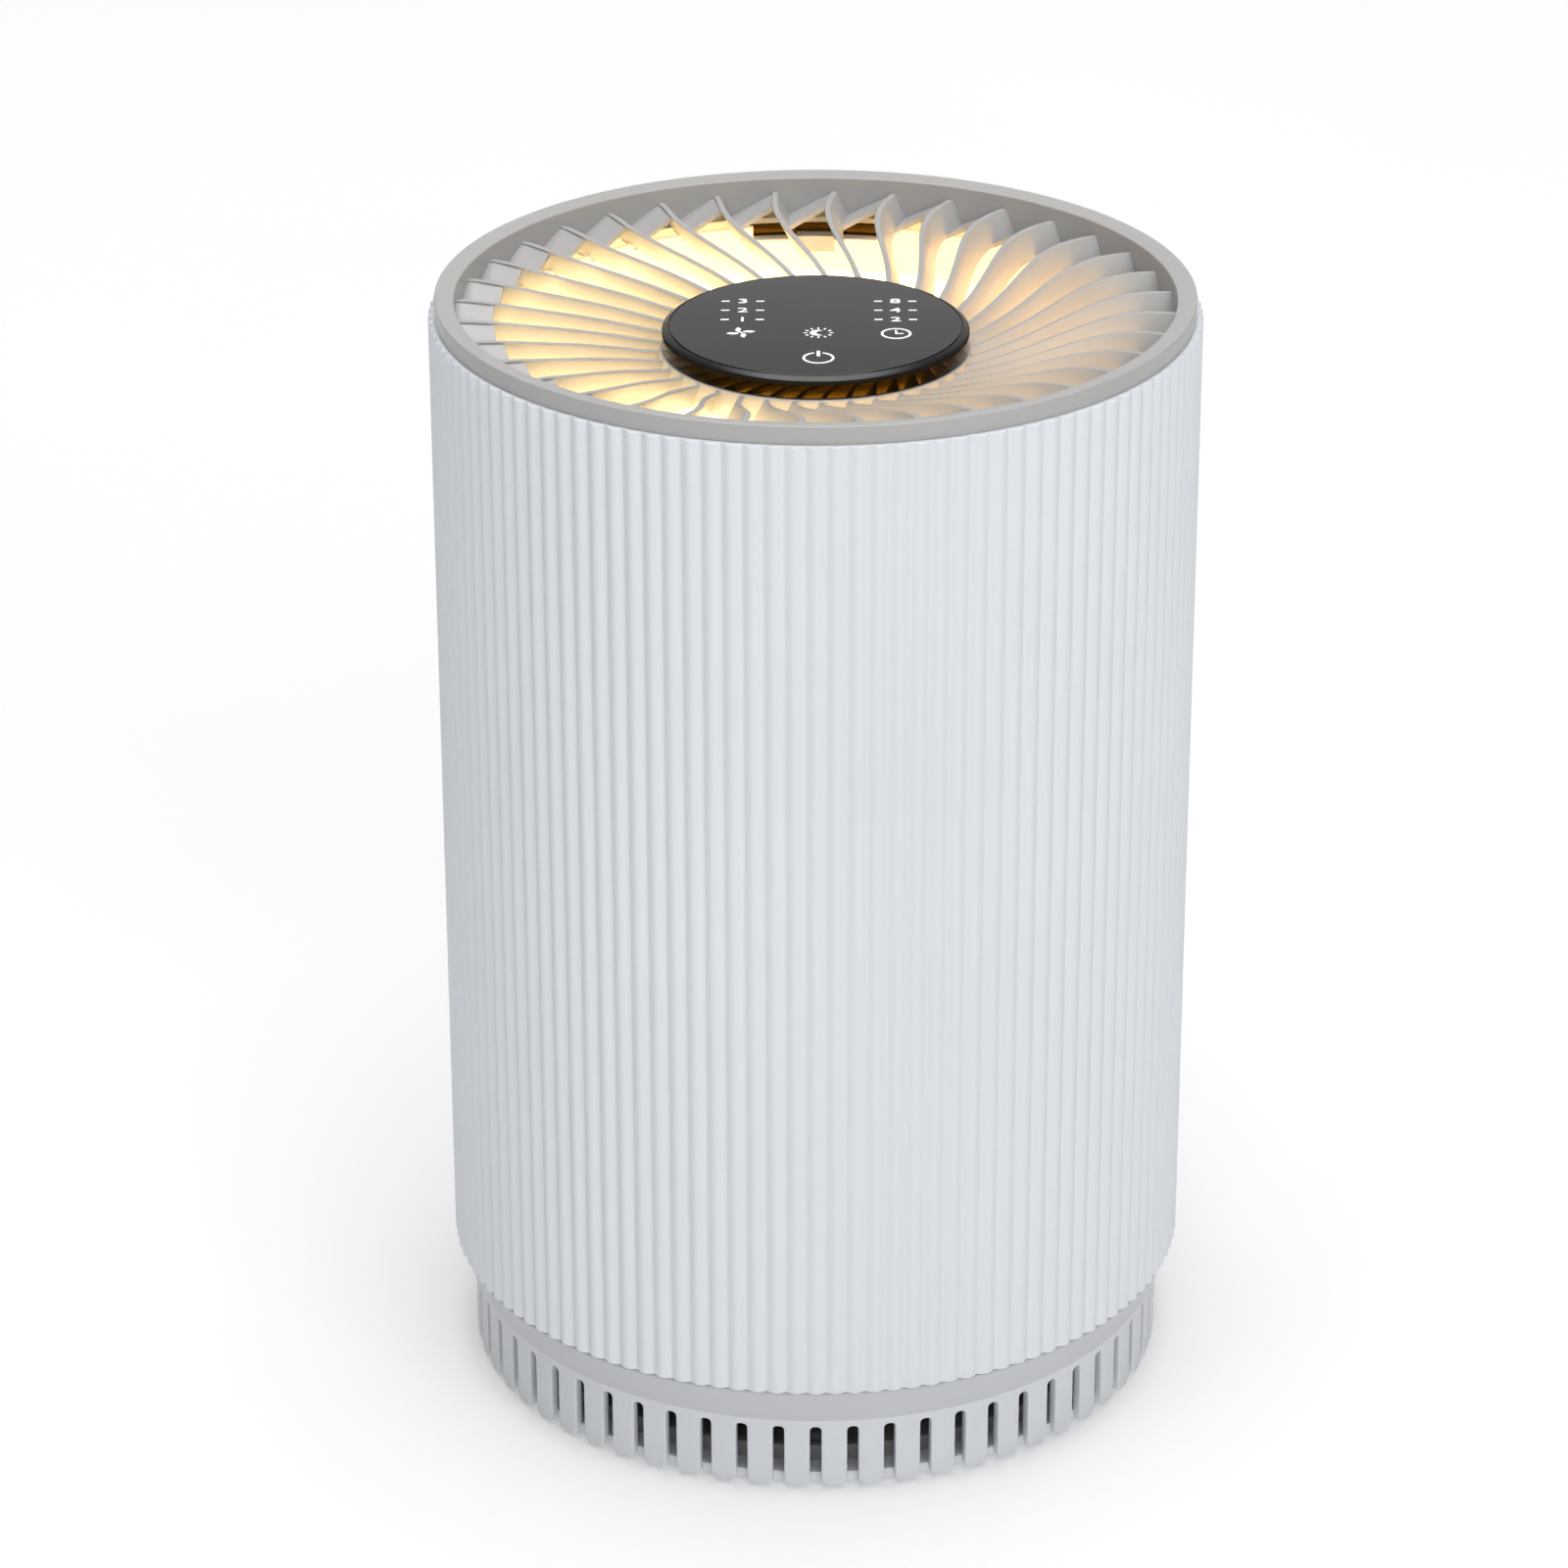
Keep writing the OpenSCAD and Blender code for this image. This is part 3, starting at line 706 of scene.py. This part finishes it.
def power_inlet():
    """The bright contact pin in the socket, with its tip rounded, and a bezel round the barrel's mouth."""
    pin = Build()
    pin.revolve([(0, 74.6, 0), (PIN_R, 74.6, 0), (PIN_R, 83.4, 0.8), (0, 83.4, 0)], 32, place=on_rear)
    pin.piece("inlet_pin", "casing", "zinc_steel")
    bezel = Build()
    bezel.revolve(
        [
            (2.85, 83.9, 0.05),
            (3.3, 84.15, 0.1),
            (4.9, 84.15, 0.3),
            (4.9, 82.9, 0.2),
            (4.42, 82.9, 0),
            (4.42, 83.9, 0),
        ],
        64,
        place=on_rear,
    )
    bezel.revolve([(4.42, 82.2, 0), (5.5, 82.2, 0.1), (5.5, 82.6, 0.1), (4.42, 82.6, 0)], 64, place=on_rear)
    bezel.piece("inlet_bezel", "casing", "black_plastic")


power_inlet()

# ---------------------------------------------------------------- feet and filter cartridge


def rubber_feet():
    """Four soft pads with a ring groove on the sole."""
    build = Build()
    for k in range(4):
        x, y, _ = around(FOOT_AT, math.radians(45 + 90 * k), 0)
        build.revolve(
            [
                (0, 0.25, 0),
                (2.6, 0.25, 0.1),
                (3.0, 0.0, 0.1),
                (4.2, 0.0, 0.1),
                (4.5, 0.35, 0.1),
                (4.9, 0.35, 0.1),
                (5.2, 0.0, 0.1),
                (6.3, 0.0, 0.25),
                (6.5, 1.2, 0.05),
                (0, 1.2, 0),
            ],
            64,
            place=lambda p, x=x, y=y: (p[0] + x, p[1] + y, p[2]),
        )
    return build.piece("rubber_feet", "base", "rubber_foot", ["foot_pads"])


def filter_caps():
    """The cartridge's moulded end caps: rounded rims, a ring of grip ribs and the groove of the seal."""
    top = Build()
    top.revolve(
        [
            (41.6, 139.0, 0.3),
            (43.1, 139.0, 0.3),
            (43.1, 144.0, 0),
            (66.24, 144.0, 0),
            (66.24, 141.0, 0.1),
            (FILTER_R, 141.0, 0.3),
            (FILTER_R, 147.0, 1.0),
            (58.0, 147.0, 0.3),
            (58.0, 146.0, 0.1),
            (52.0, 146.0, 0.1),
            (52.0, 147.0, 0.3),
            (41.6, 147.0, 0.8),
        ],
        180,
    )
    for k in range(GRIPS):
        top.revolve(
            [(60.2, 146.8, 0), (65.2, 146.8, 0), (65.2, 147.7, 0.4), (60.2, 147.7, 0.4)],
            4,
            start=360 / GRIPS * k,
            sweep=180 / GRIPS,
        )
        top.revolve(
            [(42.6, 146.8, 0), (50.8, 146.8, 0), (50.8, 147.4, 0.25), (42.6, 147.4, 0.25)],
            2,
            start=360 / GRIPS * k,
            sweep=60 / GRIPS,
        )
    top.piece("cartridge_top", "filter", "filter_cap", ["filter_top_cap"])
    low = Build()
    low.revolve(
        [
            (0, 11.5, 0),
            (41.0, 11.5, 0.3),
            (41.0, 8.3, 0.5),
            (FILTER_R, 8.3, 0.9),
            (FILTER_R, 15.8, 0.4),
            (66.24, 15.8, 0.1),
            (66.24, 12.8, 0),
            (0, 12.8, 0),
        ],
        180,
    )
    low.piece("cartridge_foot", "filter", "black_plastic", ["filter_bottom_cap"])


def prefilter():
    """The stiff moulded net round the pleats: upright strands and hoops that cross them."""
    build = Build()
    for k in range(NET_STRANDS):
        middle = TURN * k / NET_STRANDS
        half = 0.22 / NET_R
        build.loft(
            [
                [
                    around(NET_R - 0.45, middle - half, z),
                    around(NET_R, middle - half * 0.6, z),
                    around(NET_R, middle + half * 0.6, z),
                    around(NET_R - 0.45, middle + half, z),
                ]
                for z in (12.8, 144.0)
            ]
        )
    for k in range(NET_HOOPS):
        z = 12.8 + (144.0 - 12.8) * (k + 0.5) / NET_HOOPS
        build.revolve(
            [
                (NET_R - 0.5, z - 0.22, 0),
                (NET_R - 0.05, z - 0.16, 0),
                (NET_R - 0.05, z + 0.16, 0),
                (NET_R - 0.5, z + 0.22, 0),
            ],
            NET_STRANDS,
        )
    return build.piece("net_strands", "filter", "net_fabric", ["prefilter_net"], merge=False)


rubber_feet()
filter_caps()
prefilter()
seal = revolved(
    "foam_ring",
    [(52.05, 146.0, 0.2), (57.95, 146.0, 0.2), (57.95, 150.4, 1.5), (52.05, 150.4, 1.5)],
    "filter",
    "foam",
    ["filter_seal"],
)

# ---------------------------------------------------------------- slotted base


def slot_edge():
    """The edge of one slot in (across, up), from the middle of one tooth's foot to the top of the slot."""
    half_pitch = math.pi * TOOTH_R / TEETH
    flare_x = 1.0
    flare_z = 1.6
    corner = 1.0
    foot = 3
    side = 4
    arc = 5
    top = 2
    points = []
    for i in range(foot):
        share = i / foot
        x = -half_pitch + (half_pitch - SLOT_HALF - flare_x) * share
        points.append((x, TOOTH_LOW))
    for i in range(arc + 1):
        a = math.pi / 2 * i / arc
        points.append(
            (
                -SLOT_HALF - flare_x * math.cos(a),
                TOOTH_LOW + flare_z * (1 - math.cos(a)) * (0.35 + 0.65 * math.sin(a)),
            )
        )
    low = TOOTH_LOW + flare_z
    high = SLOT_TOP - corner
    for i in range(1, side):
        points.append((-SLOT_HALF, low + (high - low) * i / side))
    for i in range(arc + 1):
        a = math.pi / 2 * i / arc
        points.append(
            (-SLOT_HALF + corner * (1 - math.cos(a)), high + corner * math.sin(a))
        )
    turning = len(points) - 1 - arc // 2
    for i in range(1, top + 1):
        points.append((-(SLOT_HALF - corner) * (1 - i / top), SLOT_TOP))
    return points, turning


def slotted_skirt():
    bevel = 0.35
    bevel_steps = 3
    patch = 3
    left, turning = slot_edge()
    edge = left + [(-x, z) for x, z in reversed(left[:-1])]
    count = len(left)
    half_angle = math.pi / TEETH

    def swing(u, r):
        """Angle from the slot's middle: its sides are parallel, and the tooth fills the rest."""
        side = math.asin(min(abs(u), SLOT_HALF) / r)
        wide = math.pi * TOOTH_R / TEETH
        if abs(u) > SLOT_HALF:
            side += (abs(u) - SLOT_HALF) / (wide - SLOT_HALF) * (half_angle - side)
        return math.copysign(side, u)

    inward = []
    for j in range(len(edge)):
        a = Vector(edge[max(0, j - 1)])
        b = Vector(edge[min(len(edge) - 1, j + 1)])
        along = (b - a).normalized()
        inward.append(Vector((-along.y, along.x)))
    inward[0] = Vector((0, 1))
    inward[-1] = Vector((0, 1))
    targets = []
    low = TOOTH_LOW + bevel
    for j in range(count):
        if j <= turning:
            targets.append((-half_angle, low + (CREASE_Z - low) * j / turning))
        else:
            share = (j - turning) / (count - 1 - turning)
            targets.append((-half_angle * (1 - share), CREASE_Z))
    targets += [(-a, z) for a, z in reversed(targets[:-1])]

    def column(j, centre):
        """Points through the wall at one place on the slot's edge, from the outer skin to the inner."""
        u, z = edge[j]
        toward = inward[j]
        target = targets[j]
        points = []

        def at(offset, r):
            x, y = u + toward.x * offset, z + toward.y * offset
            points.append(around(r, centre + swing(x, r), y))

        def skin(r, shares):
            x, y = u + toward.x * bevel, z + toward.y * bevel
            start = swing(x, r)
            for share in shares:
                points.append(
                    around(
                        r,
                        centre + start + (target[0] - start) * share,
                        y + (target[1] - y) * share,
                    )
                )

        skin(TOOTH_R, [1 - i / patch for i in range(patch)])
        for i in range(bevel_steps + 1):
            a = math.pi / 2 * i / bevel_steps
            at(bevel * (1 - math.sin(a)), TOOTH_R - bevel * (1 - math.cos(a)))
        for i in range(bevel_steps + 1):
            a = math.pi / 2 * (1 - i / bevel_steps)
            at(bevel * (1 - math.sin(a)), TOOTH_BACK + bevel * (1 - math.cos(a)))
        skin(TOOTH_BACK, [(i + 1) / patch for i in range(patch)])
        return points

    upper = rounded(
        [
            (TOOTH_R, CREASE_Z, 0),
            (84.2, 27.2, 0.5),
            (78.0, 27.2, 0.3),
            (78.0, 34.0, 0.3),
            (TOOTH_IN, 34.0, 0.3),
            (TOOTH_IN, CREASE_Z, 0),
            (TOOTH_BACK, CREASE_Z, 0),
        ],
        3,
        closed=False,
    )
    build = Build()
    tops = []
    for k in range(TEETH):
        centre = TURN * k / TEETH
        columns = [build.ring(column(j, centre)) for j in range(len(edge))]
        build.faces += looped(columns, closed_path=False, closed_ring=False)
        for j in range(turning, len(edge) - 1 - turning):
            tops.append(centre + targets[j][0])
    rings = [build.ring([around(r, a, z) for r, z in upper]) for a in tops]
    build.faces += looped(rings, closed_ring=False)
    build.revolve([(60.0, 1.2, 0.2), (LEDGE_R, 1.2, 0.3), (LEDGE_R, 3.7, 0.3), (60.0, 3.7, 0.2)], 180)
    for k in range(3):
        build.revolve(
            [(77.0, 31.0, 0), (80.2, 31.0, 0.3), (80.2, 34.0, 0.5), (77.0, 34.0, 0)],
            10,
            start=30 + 120 * k - 6,
            sweep=12,
        )
    return build.piece("slotted_base", "base", "base_white", ["base_skirt"])


slotted_skirt()

# ---------------------------------------------------------------- top grille


def curve(controls, s):
    """The value at share s of the smooth curve with these control values."""
    while len(controls) > 1:
        controls = [a + (b - a) * s for a, b in zip(controls, controls[1:])]
    return controls[0]


def ridge(s):
    """(radius, degrees from the tip, height) along a vane's top, s from 0 at the rim to 1 at the hub."""
    radius = RIM_IN + (VANE_HUB_R - RIM_IN) * s
    return radius, curve(VANE_SWING, s), curve(VANE_CREST, s)


def vane_section():
    """A vane's cross-section in (round the axis, down): a level top and two leaning faces."""
    lean = VANE_DEEP / math.tan(VANE_LEAN)
    return rounded(
        [
            (-VANE_TOP_W / 2, 0, 0.18),
            (VANE_TOP_W / 2, 0, 0.18),
            (lean + VANE_FOOT_W / 2, VANE_DEEP, 0.3),
            (lean - VANE_FOOT_W / 2, VANE_DEEP, 0.3),
        ],
        3,
    )


def top_grille():
    build = Build()
    section = vane_section()
    steps = 36
    reach_out = 0.5 / (RIM_IN - VANE_HUB_R)
    for k in range(VANES):
        tip = VANE_TIP + 360 / VANES * k
        loops = []
        for i in range(steps + 1):
            s = -reach_out + (1 + 2 * reach_out) * i / steps
            radius, swing, top = ridge(s)
            angle = math.radians(tip + swing)
            loop = []
            for clockwise, drop in section:
                loop.append(around(radius, angle - clockwise / radius, top - drop))
            loops.append(loop)
        build.loft(loops)
    ramp_end = (RIM_IN - RAMP_IN) / (RIM_IN - VANE_HUB_R)
    for k in range(VANES):
        tip = VANE_TIP + 360 / VANES * k
        loops = []
        turns = 8
        profile = rounded(
            [
                (-reach_out, 0, 0),
                (ramp_end, 0, 0),
                (ramp_end, RAMP_THICK, 0),
                (-reach_out, RAMP_THICK, 0),
            ]
        )
        for i in range(turns + 1):
            share = i / turns
            loop = []
            for s, down in profile:
                radius, swing, top = ridge(s)
                angle = math.radians(tip + swing + 360 / VANES * RAMP_SHARE * share)
                z = top - 0.15 - RAMP_FALL * share - down
                loop.append(around(radius, angle, z))
            loops.append(loop)
        build.loft(loops)
    build.revolve(
        [
            (RIM_OUT, SHELL_TOP, 0.15),
            (RIM_OUT, RIM_TOP, 0.35),
            (RIM_IN, RIM_TOP - RIM_DROP, 0.35),
            (RIM_IN, GRILLE_LOW, 0.2),
            (WALL_OUT, GRILLE_LOW, 0.2),
            (WALL_OUT, SHELL_TOP, 0),
        ],
        256,
    )
    build.revolve(
        [(33.1, 238.0, 0.3), (34.4, 238.0, 0.3), (34.4, 244.4, 0.4), (33.1, 244.4, 0.2)],
        128,
    )
    return build.piece("vane_grille", "casing", "grille_grey", ["top_grille"])


top_grille()

# ---------------------------------------------------------------- rear window of the light ring


def rear_window():
    """A smoked pane behind the opening in the light ring, and the rounded lip that it stands on."""
    pane = Build()
    pane.revolve(
        [(74.6, PANE_LOW, 0.1), (75.4, PANE_LOW, 0.1), (75.4, PANE_HIGH, 0.2), (74.6, PANE_HIGH, 0.2)],
        48,
        start=90 - WINDOW_HALF - 1,
        sweep=2 * WINDOW_HALF + 2,
    )
    made = pane.piece("window_pane", "casing", "smoked_trim")
    made.data.materials[0] = moulded(
        "smoked_pane", (0.055, 0.028, 0.004), 0.1, vary=0.15, metallic=1.0, grain=400, depth=0.001
    )
    lip = Build()
    lip.revolve(
        [(71.3, 243.9, 0.25), (74.6, 243.9, 0.1), (74.6, 244.6, 0.1), (71.3, 244.6, 0.25)],
        48,
        start=90 - WINDOW_HALF,
        sweep=2 * WINDOW_HALF,
    )
    lip.piece("window_lip", "casing", "inner_white")


rear_window()

# ---------------------------------------------------------------- touch panel


def touch_panel():
    """The glass, and the bevelled rim that holds it with a fine groove between them."""
    revolved(
        "panel_glass",
        [
            (0, 247.9, 0),
            (32.12, 247.9, 0),
            (32.12, HUB_TOP - 0.1, 0.05),
            (32.0, HUB_TOP, 0.06),
            (0, HUB_TOP, 0),
        ],
        "casing",
        "panel_black",
        ["touch_panel"],
        steps=192,
        sharp=30,
    )
    revolved(
        "panel_rim",
        [
            (31.0, 247.7, 0),
            (HUB_R - 0.1, 247.7, 0),
            (HUB_R - 0.1, 248.55, 0.3),
            (32.45, HUB_TOP - 0.02, 0.12),
            (32.3, HUB_TOP - 0.3, 0.05),
            (31.0, HUB_TOP - 0.3, 0),
        ],
        "casing",
        "black_plastic",
        steps=192,
        sharp=30,
    )
    skirt = revolved(
        "panel_skirt",
        [(33.2, 247.6, 0), (HUB_R, 247.6, 0.1), (HUB_R, 248.5, 0.1), (33.2, 248.5, 0)],
        "casing",
        "black_plastic",
        steps=192,
    )
    skirt.data.materials[0] = moulded(
        "matt_black", (0.008, 0.008, 0.008), 0.7, vary=0.3, specular=0.04
    )


touch_panel()

revolved(
    "smoked_band",
    [(31.4, 244.6, 0.1), (33.9, 244.6, 0.25), (33.7, 247.6, 0.05), (31.4, 247.6, 0.1)],
    "casing",
    "smoked_trim",
    ["panel_trim"],
    steps=192,
)


def disc_loop(x, y, radius, start=0.0, sweep=360.0, steps=32):
    count = steps if sweep >= 360 else steps + 1
    return [
        (
            x + radius * math.cos(math.radians(start + sweep * i / steps)),
            y + radius * math.sin(math.radians(start + sweep * i / steps)),
        )
        for i in range(count)
    ]


def band_loop(x, y, inner, outer, start, sweep, steps=40):
    """The outline of part of a ring."""
    return disc_loop(x, y, outer, start, sweep, steps) + list(
        reversed(disc_loop(x, y, inner, start, sweep, steps))
    )


def bar_loop(x, y, length, width, angle=0.0):
    """The outline of a round-ended bar centred at x, y."""
    a = math.radians(angle)
    half = (length - width) / 2
    dx, dy = half * math.cos(a), half * math.sin(a)
    return disc_loop(x + dx, y + dy, width / 2, angle - 90, 180, 8) + disc_loop(
        x - dx, y - dy, width / 2, angle + 90, 180, 8
    )


def blade_loop(x, y, angle):
    """The outline of one curved blade of a small fan sign."""
    outline = []
    for share in (0.0, 0.15, 0.35, 0.55, 0.75, 0.9, 1.0):
        outline.append((0.35 + 2.85 * share, 0.25 + 0.75 * math.sin(math.pi * share**0.8)))
    for share in (0.9, 0.7, 0.5, 0.3, 0.1):
        outline.append((0.35 + 2.85 * share, 0.22 - 0.55 * math.sin(math.pi * share**1.6)))
    a = math.radians(angle)
    return [
        (
            x + px * math.cos(a) - py * math.sin(a),
            y + px * math.sin(a) + py * math.cos(a),
        )
        for px, py in outline
    ]


def panel_marks():
    """Flat signs on the glass: power, light, fan speed and timer, with their level bars."""
    loops = []
    x, y = 0.6, -21.3
    loops.append(band_loop(x, y, 2.95, 3.45, 107, 326))
    loops.append(bar_loop(x, y + 2.7, 3.4, 0.7, 90))
    x, y = 0.6, -5.5
    for k in range(12):
        a = math.radians(30 * k)
        loops.append(
            bar_loop(x + 2.85 * math.cos(a), y + 2.85 * math.sin(a), 0.85, 0.4, 30 * k)
        )
    moon = disc_loop(x - 0.1, y, 1.75, 55, 250, 28)
    moon += list(reversed(disc_loop(x + 0.95, y, 1.45, 98, 164, 20)))
    loops.append(moon)
    x, y = -16.4, -5.3
    loops.append(disc_loop(x, y, 0.28))
    for k in range(4):
        loops.append(blade_loop(x, y, 90 * k + 8))
    x, y = 17.6, -6.0
    loops.append(disc_loop(x, y, 3.35, steps=48))
    loops.append(disc_loop(x, y, 2.85, steps=48))
    loops.append(
        [
            (x - 0.2, y + 2.1),
            (x - 0.2, y - 0.2),
            (x + 1.6, y - 0.2),
            (x + 1.6, y + 0.2),
            (x + 0.2, y + 0.2),
            (x + 0.2, y + 2.1),
        ]
    )
    for centre, gap in ((-16.15, 3.85), (17.65, 3.8)):
        for row in (14.9, 9.0, 3.0):
            for side in (-1, 1):
                loops.append(bar_loop(centre + side * gap, row, 1.9, 0.55))
    signs = bpy.data.curves.new("marks", "CURVE")
    signs.dimensions = "2D"
    signs.fill_mode = "BOTH"
    signs.extrude = MARK_THICK * MM
    for loop in loops:
        spline = signs.splines.new("POLY")
        spline.points.add(len(loop) - 1)
        for point, (px, py) in zip(spline.points, loop):
            point.co = (px * MM, py * MM, 0, 1)
        spline.use_cyclic_u = True
    shapes = [(signs, 0.0, 0.0, 1.0)]
    for centre, digits in ((-16.15, "321"), (17.65, "842")):
        for digit, row in zip(digits, (14.9, 9.0, 3.0)):
            text = bpy.data.curves.new("digit", "FONT")
            text.body = digit
            text.size = DIGIT_SIZE * MM
            text.extrude = MARK_THICK * MM
            text.align_x = "CENTER"
            text.align_y = "CENTER"
            shapes.append((text, centre, row, DIGIT_WIDE))
    points, faces = [], []
    for shape, px, py, wide in shapes:
        holder = bpy.data.objects.new("holder", shape)
        bpy.context.scene.collection.objects.link(holder)
        flat = bpy.data.meshes.new_from_object(holder)
        start = len(points)
        points += [
            (v.co.x / MM * wide + px, v.co.y / MM + py, v.co.z / MM + HUB_TOP)
            for v in flat.vertices
        ]
        faces += [tuple(start + i for i in p.vertices) for p in flat.polygons]
        bpy.data.objects.remove(holder)
        bpy.data.meshes.remove(flat)
    piece("panel_marks", points, faces, "casing", "led_white")


panel_marks()

# ---------------------------------------------------------------- stage


def soft_light(name, place, size, power, colour=(1, 1, 1), size_y=None):
    """A large soft area light aimed at the middle of the object."""
    data = bpy.data.lights.new(name, "AREA")
    data.shape = "RECTANGLE"
    data.size = size
    data.size_y = size_y or size
    data.energy = power
    data.color = colour
    lamp = bpy.data.objects.new(name, data)
    lamp.location = place
    aim = Vector((0, 0, 0.13)) - Vector(place)
    lamp.rotation_euler = aim.to_track_quat("-Z", "Y").to_euler()
    bpy.context.scene.collection.objects.link(lamp)
    return lamp


def floor():
    """A pale floor that also glows a little, more with distance, so that it is dimmer round the object:
    painted shade round its foot.
    """
    mesh = bpy.data.meshes.new("floor")
    half = 4.0
    mesh.from_pydata(
        [(-half, -half, 0), (half, -half, 0), (half, half, 0), (-half, half, 0)],
        [],
        [(0, 1, 2, 3)],
    )
    material, tree, shader = new_material("pale_floor")
    space = object_space(tree)
    tint = mixed(tree, noise(tree, space, 3.0), (0.90, 0.90, 0.90), (0.93, 0.93, 0.93))
    tree.links.new(tint, shader.inputs["Base Color"])
    tree.links.new(tint, shader.inputs["Emission Color"])
    distance = add(tree, "ShaderNodeVectorMath", operation="LENGTH")
    tree.links.new(space, distance.inputs[0])
    # Painted shade: the glow is weakest within 0.2 m of the middle and grows out to 3 m.
    painted_glow = ranged(tree, distance.outputs["Value"], 0.19, 0.85, 0.2, 3.0)
    tree.links.new(painted_glow, shader.inputs["Emission Strength"])
    shader.inputs["Roughness"].default_value = 0.7
    mesh.materials.append(material)
    made = bpy.data.objects.new("floor", mesh)
    bpy.context.scene.collection.objects.link(made)


floor()

# The world is white to the camera and nearly dark as a light.
world = bpy.data.worlds.new("studio")
world.use_nodes = True
sky = world.node_tree
sky.nodes["Background"].inputs["Color"].default_value = (1, 1, 1, 1)
seen = add(sky, "ShaderNodeLightPath").outputs["Is Camera Ray"]
shown = ranged(sky, seen, 0.02, 1.0, 0, 1)
sky.links.new(shown, sky.nodes["Background"].inputs["Strength"])
bpy.context.scene.world = world

soft_light("top", (0.0, 0.0, 2.0), 1.6, 34)
soft_light("front", (0.0, -1.94, 1.13), 1.0, 9.4, size_y=1.3)
soft_light("front_right", (0.97, -1.68, 1.13), 1.0, 8.9, size_y=1.3)
soft_light("backdrop", (0.0, 2.6, 1.35), 3.4, 14.5, size_y=2.5)

bpy.context.scene.view_settings.view_transform = "Standard"
